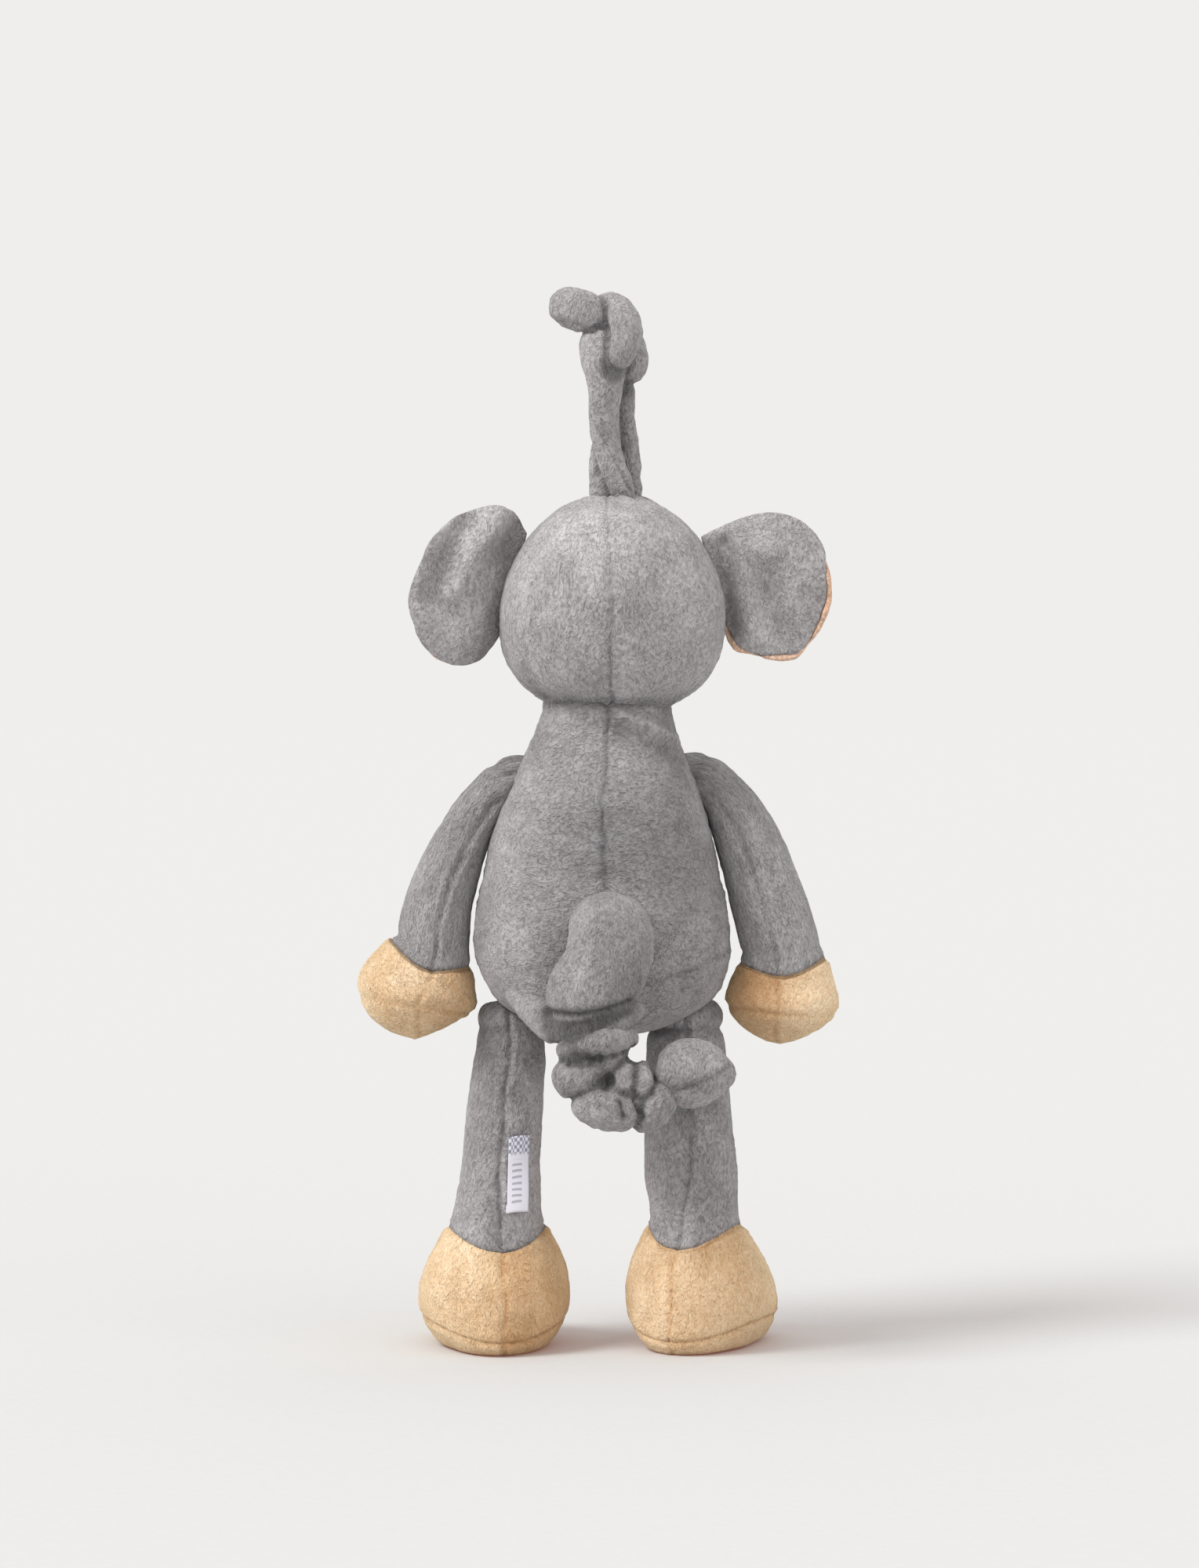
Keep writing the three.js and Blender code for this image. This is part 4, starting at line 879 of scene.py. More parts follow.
def make_arm(name):
    """The sleeve and the hand of one arm."""
    arm = ARMS[name]
    line = np.array([[x, ARM_Y, z, radius] for x, z, radius in arm["sleeve"] + arm["hand"]])
    cuff = np.interp(len(arm["sleeve"]) - 0.55, np.arange(len(line)), lengths_along(line[:, :3]))
    run = evenly(line, 1.0)[1]
    shape = tube(line, 1.0, depth=1 - 0.16 * smooth((run - cuff + 6) / 12), ends=(False, True))
    mitten = shape.run > cuff
    shape.nap[mitten] = shape.points[mitten]
    rows = len(run)
    sides = (len(shape.points) - 2) // rows
    grid = shape.points[:-2].reshape(rows, sides, 3)
    middle = grid.mean(axis=1)
    spoke = grid - middle[:, None]
    facing = hill(np.arctan2(np.linalg.norm(spoke[..., ::2], axis=2), -spoke[..., 1]), 0.9)
    tangent = unit(np.gradient(middle, axis=0))
    near = hill(run - cuff, 9)[:, None, None]
    grid += tangent[:, None] * near * CUFF_DIP * (facing[..., None] - 0.35)
    shape.points[:-2] = grid.reshape(-1, 3)
    x, y, z = shape.points.T.copy()
    level = shape.run
    shape.pile(arm["seed"], lumps=0.6)
    pleats = np.sin(7 * shape.turn + 1.3) + 0.6 * np.sin(11 * shape.turn)
    shape.push(0.5 * pleats * hill(level - 5, 5) - 0.9 * hill(level - 9 - 3 * np.sin(shape.turn), 1.6))
    middle = np.concatenate([np.repeat(middle, sides, axis=0), middle[[0, -1]]])
    behind = y < middle[:, 1]
    beside = np.where(behind & (level > 14), x - middle[:, 0] + 2.0 * arm["side"], FAR)
    shape.seam(beside, depth=0.7, shade=0.45)
    shape.seam(level - cuff, depth=0.8, width=0.7)
    shape.seam(level - (run[-1] - 11), depth=0.5, shade=0.35)
    stuffed(shape, cell=4)
    outwards = arm["side"] * (x - middle[:, 0])
    shape.brushed_and_painted_light(0.12 + 0.1 * value_noise(shape.nap / 14, 9))
    # painted shade on the inner side of the sleeve, where it lies against the torso
    shape.brushed_and_painted_light(-0.7 * smooth((-outwards - 4) / 4) * smooth((level - 9) / 4) * smooth((42 - level) / 16))
    shape.brushed_and_painted_light(0.38 * np.clip(outwards / 10, -1, 1) * np.where(level > cuff, 1.0, 0.25) * behind)
    shape.brushed_and_painted_light(-0.1 * (1 + arm["side"]) * (level > cuff))
    return parted(shape, rows, int(np.argmin(np.abs(run - cuff))))


arms = {}
for name in ARMS:
    sleeve, hand = make_arm(name)
    arms[name] = (build(f"{name}_arm_plush", sleeve, GREY), build(f"{name}_hand_plush", hand, TAN))


# -------------------- legs and feet

# creased: how strongly the thigh's top folds, with painted shade in the fold; shaded: how much darker the
# foot's right half is made
LEGS = {
    "left": {"ankle": [-34.4, 1.5, 41], "yaw": 7, "radii": [10.3, 11.3, 11.8, 12.6, 14.2], "depth": 1.08,
             "foot": 1, "seed": 91, "creased": 0.4, "shaded": 0.24},
    "right": {"ankle": [28.2, 1.5, 41], "yaw": -22, "radii": [11.8, 13.4, 14.4, 15, 15.6], "depth": 0.94,
              "foot": 0.965, "seed": 97, "creased": 1, "shaded": 0.1},
}
# the thigh's round top: rows of height, half width and half depth, as shares of its radius
THIGH_TOP = ((1.02, 0.35, 0.1), (0.94, 0.75, 0.42), (0.72, 0.95, 0.76), (0.36, 1, 0.97))
# the foot from its sole up: rows of height, half width, half depth and how far its middle is ahead
FOOT_ROWS = [
    [0, 15.5, 23.5, 9], [1.4, 19.6, 27.8, 9], [6, 22.6, 30.6, 9], [13, 24, 31.4, 8.6], [20, 23.6, 29.6, 7.2],
    [28, 21.2, 25, 4.8], [35, 17.6, 19.4, 2.2], [40.6, 14.6, 15.2, 0.4],
]
CUFF_Z = 37.5
SOLE_Z = 7.0
LEG_SIDES = 130
# where a fold crosses the top of the thigh, and its ridge above
FOLD_Z = 102
RIDGE_Z = 106.5


def leg_rings(name, step=1.05):
    """Rings from the top of the thigh to the sole."""
    leg = LEGS[name]
    hip, ankle = HIPS[name], np.array(leg["ankle"])
    radii = leg["radii"]
    top = radii[0]
    rows = [[hip[0], hip[1], hip[2] + top * high, top * wide, top * deep * leg["depth"], 0]
            for high, wide, deep in THIGH_TOP]
    last = len(radii) - 1
    for i, radius in enumerate(radii[:-1]):
        x, y, z = hip + (ankle - hip) * i / last
        rows.append([x, y, z, radius, radius * leg["depth"], 0])
    for z, wide, deep, y in reversed(FOOT_ROWS):
        rows.append([ankle[0], ankle[1], z, wide * leg["foot"], deep * leg["foot"], y])
    rows.append([ankle[0], ankle[1], 0, 8, 12, 9])
    rows.append([ankle[0], ankle[1], 0, 0.3, 0.3, 9])
    fine = spline(rows, np.linspace(0, len(rows) - 1, 900))
    fine[:, 2] = np.maximum(fine[:, 2], 0)
    run = lengths_along(np.stack([fine[:, 3], fine[:, 2], fine[:, 1] + fine[:, 5]], axis=1))
    line = resampled(fine, run, np.linspace(0, run[-1], int(run[-1] / step)))
    turn = angles(LEG_SIDES)
    c, s = np.cos(turn), np.sin(turn)
    yaw = np.radians(leg["yaw"]) * smooth((60 - line[:, 2]) / 25)
    u = line[:, 3, None] * c
    v = line[:, 4, None] * s + line[:, 5, None]
    x = line[:, 0, None] + u * np.cos(yaw)[:, None] - v * np.sin(yaw)[:, None]
    y = line[:, 1, None] + u * np.sin(yaw)[:, None] + v * np.cos(yaw)[:, None]
    z = np.repeat(line[:, 2, None], len(turn), axis=1)
    dip = 0.5 - 0.5 * np.cos(2 * turn)
    z = z - 6.5 * (dip - 0.3) * hill(line[:, 2] - CUFF_Z, 11)[:, None]
    z = z + 2.6 * np.cos(2 * turn) * hill(line[:, 2] - SOLE_Z, 5)[:, None]
    return np.stack([x, y, z], axis=-1), line, turn


def make_leg(name):
    """The sleeve, the foot and the sole of one leg."""
    leg = LEGS[name]
    rings, line, turn = leg_rings(name)
    shape = rings_shape(rings)
    x, y, z = shape.points.T.copy()
    bearing = np.concatenate([np.tile(turn, len(line)), [0, 0]])
    level, girth = (np.concatenate([np.repeat(line[:, k], LEG_SIDES), line[[0, -1], k]]) for k in (2, 3))
    rests = smooth(z / 3)
    shape.pile(leg["seed"], lumps=0.65)
    folds = 0.8 * hill(level - RIDGE_Z, 2.2) - 1.4 * hill(level - FOLD_Z, 1.4) + 0.5 * hill(level - 98, 2.5)
    folded = leg["creased"] * (0.7 + 0.3 * np.sin(2 * bearing))
    shape.push(folds * folded)
    # painted shade in the fold across the top of the thigh
    shape.groove = 0.6 * hill(level - FOLD_Z, 1.5) * folded
    along = np.angle(np.exp(1j * (bearing + np.pi / 2))) * girth
    back_seam = np.where(level > 0.5, along + 0.4 * np.sin(level / 4), FAR)
    shape.seam(back_seam, depth=0.9, lip=0.5, shade=0.65)
    shape.seam((level - CUFF_Z) * 1.1, depth=0.8, width=0.8)
    shape.seam(level - SOLE_Z, depth=0.6, shade=0.55)
    stuffed(shape, cell=4)
    # the foot's right half is made darker by its shaded share; the sleeve's right half, away from the key
    # light, gets painted light
    inward = np.where(bearing > 1.5 * np.pi, 1.0, -1.0) * smooth(-np.sin(bearing) * 3)
    shape.brushed_and_painted_light(0.1 - np.where(level < CUFF_Z, leg["shaded"], -0.12) * inward)
    # painted shade on the top of the leg, under the torso
    shape.brushed_and_painted_light(-0.4 * smooth((level - 82) / 14))
    # painted highlight on the ridge of the fold
    shape.brushed_and_painted_light(0.45 * hill(level - RIDGE_Z, 2.0) * folded * (y < 0))
    # painted shadow of the tail tip on the leg
    under_tail = np.hypot((x - 29) / 1.8, z - 79)
    shape.brushed_and_painted_light(-0.6 * hill(under_tail, 6) * (y < 0))
    shape.points[:, 2] = np.maximum(z * (1 - rests) + shape.points[:, 2] * rests, 0)
    cuff_row, sole_row = (int(np.argmin(np.abs(line[:, 2] - at))) for at in (CUFF_Z, SOLE_Z))
    sleeve, rest = parted(shape, len(line), cuff_row)
    foot, sole = parted(rest, len(line) - cuff_row + 1, sole_row - cuff_row + 1)
    return sleeve, foot, sole


legs = {}
for name in LEGS:
    sleeve, foot, sole = make_leg(name)
    looks = {"leg": (sleeve, GREY), "foot": (foot, TAN), "sole": (sole, TAN)}
    legs[name] = [build(f"{name}_{part}_plush", shape, look) for part, (shape, look) in looks.items()]


# -------------------- tail

TAIL_ROOT = [
    ([[1, -20, 138, 10], [1, -27, 138, 11.4], [1.2, -33, 137, 12.8], [1.5, -37.4, 132.6, 13.3],
      [0.6, -39.6, 126, 13.7], [-1.8, -40.2, 120.5, 14.2], [-4.6, -39.6, 115.5, 14.4],
      [-7.2, -36.6, 110.5, 13], [-8, -31, 106, 10]], {"depth": 0.8}),
    ([[-30, -10, 117, 3.6], [-25, -16.5, 112, 4.6], [-19.5, -24.5, 108, 5.6], [-14, -33, 105.8, 6.2],
      [-8, -40.6, 105.4, 6.2], [-1, -44.6, 106.8, 5.6], [5, -43, 109.2, 4.8], [11.5, -34, 112.3, 3.4]],
     {"depth": 0.9}),
]
# the crease under the root piece, seen from behind
CREASE = [[-25, 112.6], [-17, 110.6], [-9, 110.4], [-1, 111.6], [8, 114.6]]
# slits between the sleeve's gathers, pressed in and given painted shade, from and to, seen from behind
SLEEVE_CUTS = [[[-11.2, 95.6], [-1.5, 97.4]], [[4.6, 84.4], [5.8, 79.6]], [[8.8, 85.6], [11.6, 79.2]]]
TAIL_SLEEVE = [
    ([[-4, -39.5, 108, 8], [-4.4, -40, 100, 10.4], [-2.4, -40.4, 92.4, 10.4], [3.4, -40.4, 86.6, 9],
      [11, -40.6, 85.8, 7.8], [18.4, -41, 89.4, 6]], {"depth": 0.9}),
    ([[-10, -36, 99, 5.6], [-9.6, -42, 99.2, 5.8], [-3, -46.4, 101.2, 5.4], [3, -45.6, 102.6, 4.8],
      [6.6, -40.6, 102.4, 4.2], [6, -36, 102, 3.6]], {}),
    ([[-9, -36, 93, 8], [-9, -42.4, 91.2, 7.6], [-5, -46, 92, 5.8], [1, -46.4, 95, 4.2],
      [7.6, -42, 97.4, 3.4]], {}),
    ([[-5, -38, 86, 7], [-3, -43.4, 83.6, 7.6], [2, -46.2, 82, 7.6], [7.6, -45, 82, 7.2],
      [9, -41, 82, 6]], {}),
    ([[4.8, -38, 97, 3.6], [5.6, -45, 93.6, 4.2], [6, -47.4, 90, 4.4], [5.6, -46.6, 85, 4.4]], {}),
    ([[10.4, -38, 94, 3.6], [11, -44.2, 91.6, 4.6], [11.2, -46.2, 87.8, 4.8], [10.6, -45, 83.6, 4.8]], {}),
    ([[7.6, -39, 81, 6], [13, -44.4, 81, 7], [16.8, -44.4, 84.6, 6], [17.4, -41.4, 90, 5]], {}),
]
TAIL_TIP = [
    [15.4, -41.2, 89.4, 5.6], [18, -41.4, 89.8, 7.8], [21.4, -41.6, 90.8, 9.8], [26, -41.6, 92, 10.8],
    [31, -41.4, 92, 9.9], [35.6, -41.2, 91.8, 7.4], [39, -41.2, 91.8, 4.6], [41, -41.2, 91.8, 2.6],
]


def make_tail_root():
    shape = fused(TAIL_ROOT, 0.85, rounds=2)
    shape.pile(111, lumps=0.5, tufts=0.22)
    x, y, z = shape.points.T.copy()
    ridge = hill(x + 7.5 - 0.28 * (z - 120), 1.6) * hill(z - 122, 10) * (y < -40)
    shape.push(0.8 * ridge - 1.0 * hill(np.hypot(x - 7.5, z - 117.5), 3.6) * (y < -40))
    deep = near_lines(shape.points, zip(CREASE, CREASE[1:]), 1.3) * smooth((-y - 26) / 8)
    shape.push(-1.8 * deep)
    # painted shade in the crease under the root piece
    shape.groove = np.maximum(shape.groove, 0.95 * deep)
    # a patch of painted shade by the dent, a painted highlight on the ridge, the left side lighter and the
    # rest a little darker
    painted_shade_patch = 0.2 * hill(np.hypot(x - 6, z - 120), 6)
    return shape.brushed_and_painted_light(0.35 * ridge + 0.1 * smooth((-x - 2) / 8) - 0.2 - painted_shade_patch)


def make_tail_sleeve():
    shape = fused(TAIL_SLEEVE, 0.7, rounds=5).pile(121, lumps=0.5, tufts=0.26)
    x, y, z = shape.points.T.copy()
    showing = smooth((-y - 41) / 2)
    ribs = np.sin(1.7 * (0.9 * x + 0.45 * z) + 2.5 * value_noise(shape.points / 5, 125))
    shape.push(0.15 * ribs * showing)
    hole = hill(np.hypot((x - 0.9) / 1.1, (z - 90.4) / 1.9), 1.3) * showing
    cut = near_lines(shape.points, SLEEVE_CUTS, 0.9) * showing
    shape.push(-1.6 * hole - 1.2 * cut)
    # painted shade in the hole and the slits, and deeper painted shade in the creases
    shape.groove = np.maximum(1.5 * shape.groove, np.maximum(2.0 * hole, 1.5 * cut))
    # painted light on the ribs' crests and painted shade in their troughs; the whole sleeve a little lighter
    return shape.brushed_and_painted_light(0.12 + 0.1 * ribs * showing)


def make_tail_tip():
    shape = tube(TAIL_TIP, 0.8, depth=0.84)
    shape.nap = shape.points.copy()
    shape.pile(131, lumps=0.6, tufts=0.26)
    x, y, z = shape.points.T
    lower = z - 87.4 - 0.24 * (x - 22) - 0.012 * (x - 22) ** 2
    shape.seam(np.where((y < -43) & (x > 21), lower, FAR), depth=0.7, shade=0.6)
    # painted light on the top of the tip; the underside below the seam is made lighter as well, and the rest
    # a little darker
    return shape.brushed_and_painted_light(0.15 * smooth((z - 90) / 5) + 0.5 * smooth((88 - z) / 3) - 0.1)


tail_root = build("tail_root_plush", make_tail_root(), GREY)
tail_sleeve = build("tail_sleeve_plush", make_tail_sleeve(), GREY)
tail_tip = build("tail_tip_plush", make_tail_tip(), GREY)


# -------------------- hanging loop

LOOP_STRANDS = [
    # the front strand, up from the head to the knot
    ([[6.6, -3.2, 269, 3.8], [5, -4.6, 275, 4.2], [2.4, -5.4, 282, 4.3], [0.6, -5.6, 289, 4.4],
      [-0.2, -5.6, 296, 4.7], [0, -5.6, 303, 5.2], [0.2, -5, 309, 6.4], [0, -4.6, 315, 7.8],
      [-0.4, -3.4, 320.6, 7.8], [0.6, -1.6, 326, 6]], {"depth": 0.86, "twist": 40}),
    # the layer that it winds over, low on the left
    ([[0.6, -0.6, 269, 5.2], [-0.2, -0.8, 276, 4.7], [-0.4, -1.2, 283, 4.3], [0.2, -2, 290, 3.6],
      [0.6, -3, 297, 2.6]], {"depth": 0.9}),
    # the back strand
    ([[7.6, 1.6, 269, 4.4], [8.2, 2.2, 276, 3.5], [8.2, 2.6, 283, 3.1], [7.6, 2.8, 291, 2.9],
      [6.6, 2.6, 299, 3], [6.4, 2, 306, 3.4], [6.6, 1, 312, 3.6]], {}),
    # the knot: its band over the front, the turn behind it and the free end
    ([[-1.6, 3, 329, 5], [1.6, -1.6, 331.6, 5.4], [5, -5.6, 329, 6], [6.6, -8.4, 323, 6],
      [5, -9.4, 317, 5.2], [2.4, -8, 312, 4]], {"depth": 0.9}),
    ([[5, 3, 325, 4.8], [8, 2.4, 319.6, 5], [8.6, 0.6, 313.8, 4.8], [6.2, -0.6, 308, 3.6]], {}),
    ([[3, 0, 326, 5.2], [-1.5, -3.4, 328.2, 6], [-6, -4.8, 330.2, 6.7], [-11, -4.6, 331.6, 6.6],
      [-17.8, -3.8, 332, 5.6]], {"depth": 0.9}),
]


def make_loop():
    shape = fused(LOOP_STRANDS, 0.6)
    shape.pile(141, lumps=0.4, tufts=0.28)
    x, y, z = shape.points.T.copy()
    winding = (x + 2.6) + 0.52 * (z - 291)
    along = smooth((z - 271) / 3) * smooth((294 - z) / 4) * (y < -4)
    shape.push(1.0 * hill(winding, 0.8) * along - 0.8 * hill(winding - 1.6, 0.7) * along)
    hem = np.where((x < -2) & (z > 317) & (y < -3), z - 325.4 + 0.28 * (x + 9), FAR)
    # painted highlight along the ridge where the strand winds over; the whole loop a little lighter
    return shape.seam(hem, depth=0.6, shade=0.4).brushed_and_painted_light(0.25 + 0.3 * hill(winding, 1.0) * along)


loop = build("hanging_loop_plush", make_loop(), GREY)


# -------------------- face

def stitched(name, base, twill):
    """Satin-stitched embroidery: close parallel threads."""
    n = Nodes(name)
    nap = n.attribute("nap", "Vector")
    wave = n.wave(nap, twill, "Z", 1.2, 1.0)
    fibre = n.noise(n.stretched(nap, (0.6, 0.6, 6.0)), 3.0)
    # the troughs between the threads are darker: painted shade between the threads
    dark = tuple(c * 0.45 for c in base)
    colour = n.mix(n.times(wave, n.ramp(fibre, to=(0.6, 1.0))), dark, base)
    normal = n.bump(wave, 0.0002, 0.8)
    constants = {"Specular IOR Level": 0.5, "Sheen Weight": 0.15}
    rough = n.ramp(fibre, to=(0.35, 0.6))
    return n.finish(constants, base_color=colour, normal=normal, roughness=rough)


THREAD = stitched("dark thread", srgb(52, 42, 38), 0.9)

# half of the face's outline, from the brow to the chin, as distance from the middle and height
HALF_FACE = [
    [0, 249.5], [7, 254], [15, 253.5], [21.5, 248], [22.5, 240], [20.5, 233.5], [24, 226], [23.5, 217],
    [17.5, 210.8], [8, 209.6], [0, 209.4],
]
MUZZLE_AT = np.array([HEAD_X, 28.0, 221.5])
MUZZLE_RADII = np.array([19.5, 15.5, 14.0])


def patch(outline, heart, step, surface, back, front):
    """A closed patch on a surface.

    Its back is a lift and its rings' shares of the outline. Its front is the lift at the edge, the bulge,
    how square the bulge is, and the shares.
    """
    edge, _ = evenly([[x, 0, z] for x, z in outline], step)
    heart = np.array([heart[0], 0, heart[1]])
    spokes = edge[:-1] - heart
    low, shares = back
    layers = [(share, low) for share in shares]
    lift, bulge, power, shares = front
    layers += [(share, bulge * math.sqrt(max(1 - share**power, 0)) + lift) for share in shares]
    rings = []
    for share, height in layers:
        flat = heart + spokes * share
        rings.append(np.stack([flat[:, 0], surface(flat[:, 0], flat[:, 2], height), flat[:, 2]], axis=1))
    return rings_shape(np.array(rings))


def make_face():
    outline = [[HEAD_X - x, z] for x, z in HALF_FACE] + [[HEAD_X + x, z] for x, z in HALF_FACE[-2::-1]]
    back = (-1.6, np.linspace(0.05, 1, 8))
    front = (1.0, 1.2, 8, np.linspace(1, 0.05, 26))
    return patch(outline, (HEAD_X, 231), 1.1, on_head, back, front).pile(151, lumps=0.3)


def on_muzzle(x, z, lift=0.0):
    left = 1 - ((x - MUZZLE_AT[0]) / MUZZLE_RADII[0]) ** 2 - ((z - MUZZLE_AT[2]) / MUZZLE_RADII[2]) ** 2
    return MUZZLE_AT[1] + MUZZLE_RADII[1] * np.sqrt(np.clip(left, 0.02, 1)) + lift


def make_muzzle():
    levels = np.linspace(-0.99, 0.99, 15)
    rows = [[MUZZLE_AT[2] + MUZZLE_RADII[2] * level, *(MUZZLE_RADII[:2] * math.sqrt(1 - level * level)),
             MUZZLE_AT[1], MUZZLE_AT[0]] for level in levels]
    shape = row_shape(rows, 1.0)
    shape.pile(161, lumps=0.5)
    x, y, z = shape.points.T
    return shape.seam(np.where((y > 30) & (z <= 228), x - MUZZLE_AT[0], FAR), depth=0.5)


def pad(at, radii, surface):
    """An embroidered pad on the face, its threads lying side by side."""
    turn = np.linspace(0, 2 * np.pi, 40)
    outline = [[at[0] + radii[0] * math.cos(t), at[1] + radii[1] * math.sin(t)] for t in turn]
    back = (-0.9, (0.1, 0.6, 1.0))
    front = (0.2, 1.3, 3, np.linspace(1, 0.06, 14))
    return patch(outline, at, 0.35, surface, back, front)


def over_muzzle(x, z, lift):
    return on_muzzle(x, z, lift + 0.3)


def over_face(x, z, lift):
    return on_head(x, z, lift + 2.2)


def make_smile():
    """A mouth of short overlapping stitches."""
    points = []
    for aside in np.linspace(-11, 11, 12):
        z = 213.6 + 0.03 * aside * aside
        points.append(np.array([HEAD_X + aside, on_muzzle(HEAD_X + aside, z, 0.45), z]))
    stitches = []
    for a, b in zip(points, points[1:]):
        along = unit(b - a)
        middle = (a + b) / 2 + np.array([0, 0.35, 0])
        line = [[*(a - along * 0.3), 0.4], [*middle, 0.62], [*(b + along * 0.3), 0.4]]
        stitches.append(tube(line, 0.3))
    return joined(stitches)


face = build("face_patch", make_face(), TAN)
muzzle = build("muzzle_plush", make_muzzle(), TAN)
nose = build("nose_stitched", pad((HEAD_X, 229.5), (4.6, 2.7), over_muzzle), THREAD)
eyes = {}
for side, name in ((-1, "left"), (1, "right")):
    at = (HEAD_X + side * 10.5, 242.5)
    eyes[name] = build(f"{name}_eye_stitched", pad(at, (3.0, 3.8), over_face), THREAD)
mouth = build("mouth_stitched", make_smile(), THREAD)


# -------------------- side label and pull cord

LABEL = {
    "at": np.array([-27.8, -9.8, 56.6]), "width": 6.4, "height": 24.0, "layer": 0.3, "gap": 0.45,
    "lean": 0.073, "tilt": -9, "turn": 18,
}


def satin():
    """Woven satin ribbon: a band of little lozenges at the top and a column of dashes below it."""
    n = Nodes("label satin")
    nap = n.attribute("nap", "Vector")
    height = n.attribute("groove", "Fac")
    weave = n.wave(nap, 1.5, "Z", 0.3)
    weft = n.wave(nap, 1.5, "X", 0.3)
    squares = {"Vector": n.stretched(nap, (1, 1, 0.8)), "Scale": 1.1}
    lozenges = n.times(n.add("ShaderNodeTexChecker", squares).outputs["Fac"], n.ramp(height, 0.74, 0.78))
    across = n.add("ShaderNodeSeparateXYZ", {"Vector": nap}).outputs["X"]
    middle = n.ramp(n.math("ABSOLUTE", n.math("SUBTRACT", across, 3.0), 0.0), 1.5, 1.7, (1.0, 0.0))
    below = n.times(n.ramp(height, 0.1, 0.12), n.ramp(height, 0.66, 0.7, (1.0, 0.0)))
    dash = n.ramp(n.wave(nap, 0.16, "Z", 1.5, 0.0, "TRI"), 0.56, 0.64, (0.0, 0.7))
    woven = n.math("MAXIMUM", lozenges, n.times(n.times(middle, below), dash))
    base = n.mix(n.times(weave, 0.25), srgb(232, 230, 240), srgb(205, 203, 218))
    colour = n.mix(n.times(woven, 0.75), base, srgb(92, 96, 122))
    normal = n.bump(n.math("ADD", weave, weft), 0.00006, 0.6)
    rough = n.ramp(n.noise(nap, 0.2), to=(0.32, 0.48))
    constants = {"Specular IOR Level": 0.5, "Anisotropic": 0.4, "Sheen Weight": 0.1}
    return n.finish(constants, base_color=colour, normal=normal, roughness=rough)


def folded_section():
    """The label's section, seen from above: a layer out, a round fold, and a layer back."""
    width, layer, gap = (LABEL[key] for key in ("width", "layer", "gap"))
    across = np.linspace(0, 1, 18)
    outer = [np.array([width * t, -gap - layer * 0.5 - 0.25 * math.sin(math.pi * t)]) for t in across]
    bend = [np.array([width + (gap + layer / 2) * math.sin(a), -(gap + layer / 2) * math.cos(a)])
            for a in np.linspace(0.2, math.pi - 0.2, 7)]
    inner = [np.array([width * t, gap + layer * 0.5 + 0.1 * math.sin(math.pi * t)]) for t in across[::-1]]
    middle = np.array(outer + bend + inner)
    along = unit(np.gradient(middle, axis=0))
    normal = np.stack([along[:, 1], -along[:, 0]], axis=1)
    return np.concatenate([middle + normal * layer / 2, (middle - normal * layer / 2)[::-1]])


def make_label():
    """A ribbon folded over: two layers, joined by a round fold at the outer edge."""
    width, tall = LABEL["width"], LABEL["height"]
    section = folded_section()
    tilt, turn = (math.radians(LABEL[key]) for key in ("tilt", "turn"))
    rows = []
    naps = []
    for z in np.linspace(-0.5, 0.5, 40):
        wave = 0.35 * math.sin(z * 7 + 0.5) + 0.5 * z
        x = section[:, 0] - width / 2 + LABEL["lean"] * z * tall
        y = section[:, 1] + wave * (section[:, 0] / width)
        h = z * tall + 0.5 * np.sin(section[:, 0] / 3)
        y, h = y * math.cos(tilt) - h * math.sin(tilt), y * math.sin(tilt) + h * math.cos(tilt)
        x, y = x * math.cos(turn) - y * math.sin(turn), x * math.sin(turn) + y * math.cos(turn)
        rows.append(np.stack([x, y, h], axis=1) + LABEL["at"])
        naps.append(np.column_stack([section, np.full(len(section), z * tall)]))
    shape = rings_shape(np.array(rows), np.array(naps))
    # for the label, the groove attribute tells the satin how high a point is, from 0 to 1
    shape.groove = (shape.nap[:, 2] + tall / 2) / tall
    return shape


label = build("side_label_ribbon", make_label(), satin())

CORD_RADIUS = 0.85
CORD_LINE = [
    [0.6, 3.5, 134], [0.6, -15.5, 134], [0.6, -27.5, 134], [0.4, -37, 133.8], [-1.2, -42, 129.2],
    [-3.6, -43, 121.6], [-7, -42.6, 109], [-5.6, -42, 102.6], [-3.3, -41.6, 96.2], [0.5, -41.4, 90],
    [6.7, -41.2, 86.1], [13.1, -41.2, 86.9], [17, -41.2, 88.6], [20.4, -41.2, 90],
]


def braid():
    n = Nodes("braided cord")
    nap = n.attribute("nap", "Vector")
    strands = n.wave(nap, 0.5, "DIAGONAL", 0.6)
    wear = n.noise(nap, 0.4)
    # the strand pattern darkens the gaps between strands, painted shade; the wear noise varies the tone
    tone = n.times(strands, n.ramp(wear, to=(0.7, 1.0)))
    colour = n.mix(tone, srgb(176, 170, 158), srgb(236, 231, 220))
    constants = {"Specular IOR Level": 0.3, "Sheen Weight": 0.2}
    rough = n.ramp(wear, to=(0.7, 0.9))
    return n.finish(constants, base_color=colour, normal=n.bump(strands, 0.0003), roughness=rough)


def make_cord():
    shape = tube([[*point, CORD_RADIUS] for point in CORD_LINE], 0.6)
    around, along = 3 * shape.turn, 1.6 * shape.run
    return shape.push(0.12 * np.sin(around + along) + 0.12 * np.sin(around - along))


pull_cord = build("pull_cord_braid", make_cord(), braid())


# -------------------- the musical movement's own materials

def moulded():
    n = Nodes("white plastic")
    at = n.place()
    grain = n.noise(at, 2600.0, 3.0)
    cloud = n.noise(at, 60.0)
    colour = n.mix(n.ramp(cloud), srgb(226, 223, 214), srgb(240, 238, 231))
    rough = n.ramp(grain, to=(0.36, 0.52))
    normal = n.bump(grain, 0.00003)
    return n.finish({"Specular IOR Level": 0.5}, base_color=colour, normal=normal, roughness=rough)


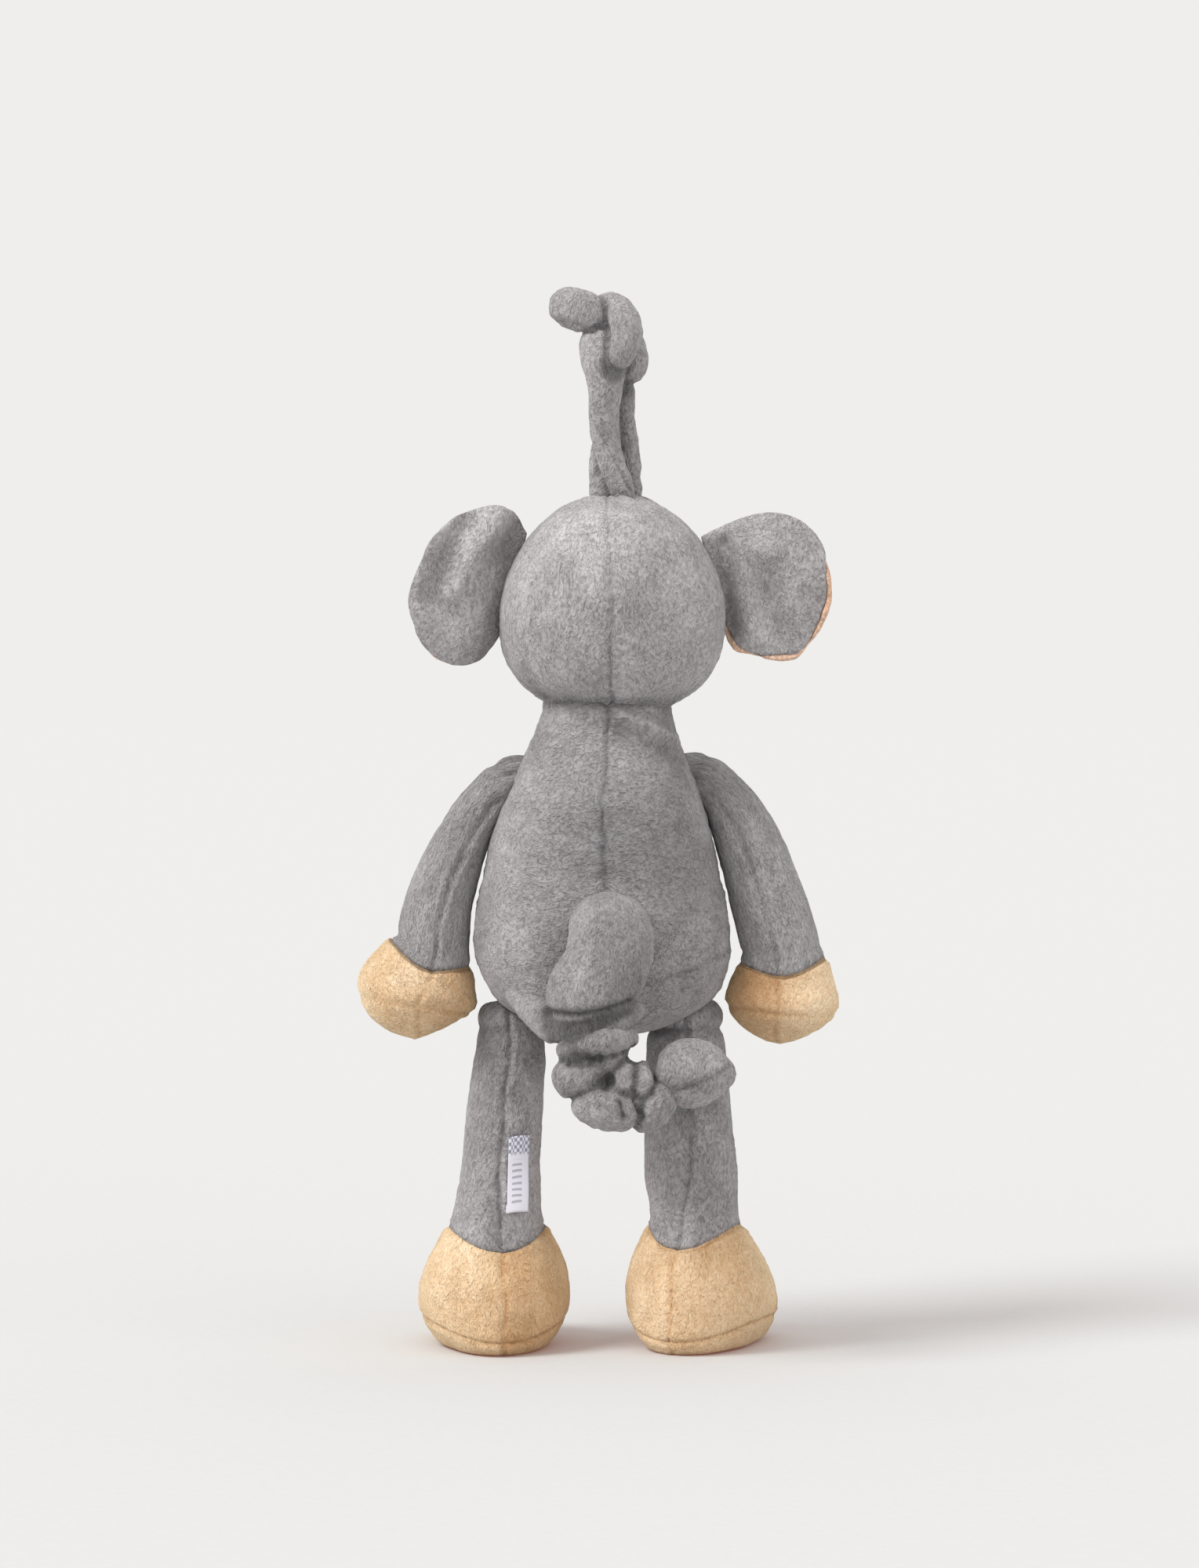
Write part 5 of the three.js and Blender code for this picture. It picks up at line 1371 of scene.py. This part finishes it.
def metal(name, light, dark, brushed_and_painted_light):
    n = Nodes(name)
    at = n.place()
    lines = n.noise(n.stretched(at, brushed_and_painted_light), 900.0, 3.0)
    stain = n.noise(at, 120.0, 3.0)
    colour = n.mix(n.ramp(stain, 0.35, 0.65), dark, light)
    rough = n.ramp(lines, to=(0.22, 0.42))
    constants = {"Metallic": 1.0, "Specular IOR Level": 0.5}
    return n.finish(constants, base_color=colour, normal=n.bump(lines, 0.00002), roughness=rough)


PLASTIC = moulded()
STEEL = metal("steel", srgb(196, 199, 203), srgb(158, 160, 164), (1, 1, 12))
BRASS = metal("brass", srgb(214, 180, 104), srgb(176, 140, 72), (1, 1, 10))
MOVEMENT_LOOKS = [
    (PLASTIC, ["movement_case", "movement_cover", "cord_spool"]),
    (STEEL, ["comb", "comb_screw", "cover_screw_1", "cover_screw_2", "cover_screw_3", "mainspring"]),
    (BRASS, ["pinned_drum", "governor"]),
]
for look, nodes in MOVEMENT_LOOKS:
    for node in nodes:
        materials = frame["nodes"][node].data.materials
        materials.clear()
        materials.append(look)


# -------------------- floor

FLOOR_WHITE = np.array([0.57, 0.62, 0.62])
FLOOR_REACH = 20.0
FLOOR_LINES = 9


def floor_material():
    """A matt floor that glows as much as it takes to meet the backdrop without a line."""
    n = Nodes("pale floor")
    at = n.place()
    dust = n.noise(at, 300.0)
    lit = np.array(BACKGROUND)
    for source, strength, colour, _ in SUNS.values():
        lit = lit + strength * np.array(colour) * source[2] / np.linalg.norm(source) / math.pi
    glow = np.array(BACKGROUND) - FLOOR_WHITE * lit
    n.shader.inputs["Emission Color"].default_value = (*glow, 1)
    near = n.ramp(dust, to=(0.99, 1.01))
    colour = n.colour(*(n.times(near, white) for white in FLOOR_WHITE))
    constants = {"Specular IOR Level": 0.0, "Emission Strength": 1.0}
    return n.finish(constants, base_color=colour, roughness=n.ramp(dust, to=(0.95, 1.0)))


def make_floor():
    """A wide sheet whose faces are smallest in the middle, in metres."""
    steps = np.linspace(-1, 1, FLOOR_LINES)
    spread = np.sign(steps) * np.abs(steps) ** 2 * FLOOR_REACH
    points = [(x, y, 0.0) for y in spread for x in spread]
    places = product(range(FLOOR_LINES - 1), repeat=2)
    starts = [row * FLOOR_LINES + column for row, column in places]
    faces = [(i, i + 1, i + FLOOR_LINES + 1, i + FLOOR_LINES) for i in starts]
    mesh = bpy.data.meshes.new("floor")
    mesh.from_pydata(points, [], faces)
    mesh.materials.append(floor_material())
    return link("floor", mesh)


make_floor()


# -------------------- which body each piece rides on

def stands_for(piece, slot, *nodes, fill=None):
    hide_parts(*nodes)


stands_for(torso, "grey_plush", "torso_back_left_panel", "torso_back_right_panel", "torso_front_panel",
           "torso_seat_panel", "torso_filling", fill=0.85)
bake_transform(torso)
stands_for(head, "grey_plush", "head_back_left_panel", "head_back_right_panel", "head_front_panel",
           "head_filling", fill=0.9)
stands_for(face, "tan_plush", "face_panel")
stands_for(muzzle, "tan_plush", "muzzle_panel", "muzzle_filling", fill=0.9)
stands_for(nose, "dark_thread", "nose_embroidery")
stands_for(mouth, "dark_thread", "mouth_stitching")
for name, eye in eyes.items():
    stands_for(eye, "dark_thread", f"{name}_eye_embroidery")
for piece in (head, face, muzzle, nose, mouth, *eyes.values()):
    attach(piece, "head")

for name, (back, front) in ears.items():
    middle, up, out, _ = ear_frame(name)
    stands_for(back, "grey_plush", f"{name}_ear_back_panel", fill=0.4)
    stands_for(front, "peach_plush", f"{name}_ear_lining", fill=0.4)
    for piece in (back, front):
        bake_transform(piece)

stands_for(loop, "grey_plush", "hanging_loop", fill=0.5)
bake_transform(loop)

# each limb's pieces: material, the nodes that they stand for and how full they are
ARM_PIECES = [
    ("grey_plush", ["arm_sleeve", "arm_filling"], 0.8),
    ("tan_plush", ["hand_palm", "hand_inner_panel", "hand_outer_panel"], 0.8),
]
LEG_PIECES = [
    ("grey_plush", ["leg_sleeve", "leg_filling"], 0.8),
    ("tan_plush", ["foot_inner_panel", "foot_outer_panel"], 0.85),
    ("tan_plush", ["foot_sole"], 0.85),
]
for limb, limbs, facts in (("arm", arms, ARM_PIECES), ("leg", legs, LEG_PIECES)):
    for name, pieces in limbs.items():
        for piece, (slot, nodes, fill) in zip(pieces, facts):
            stands_for(piece, slot, *(f"{name}_{node}" for node in nodes), fill=fill)
            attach(piece, f"{name}_{limb}")

stands_for(label, "label_satin", "side_label")
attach(label, "left_leg")

stands_for(tail_root, "grey_plush", "tail_base_cover", "tail_base_filling", fill=0.7)
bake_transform(tail_root)
stands_for(tail_tip, "grey_plush", "tail_tip_cover", "tail_tip_filling", fill=0.85)
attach(tail_tip, "tail_tip")
stands_for(tail_sleeve, "grey_plush", "tail_gathered_sleeve", fill=0.4)
stands_for(pull_cord, "cord", "pull_cord")
for piece in (tail_sleeve, pull_cord):
    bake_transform(piece)
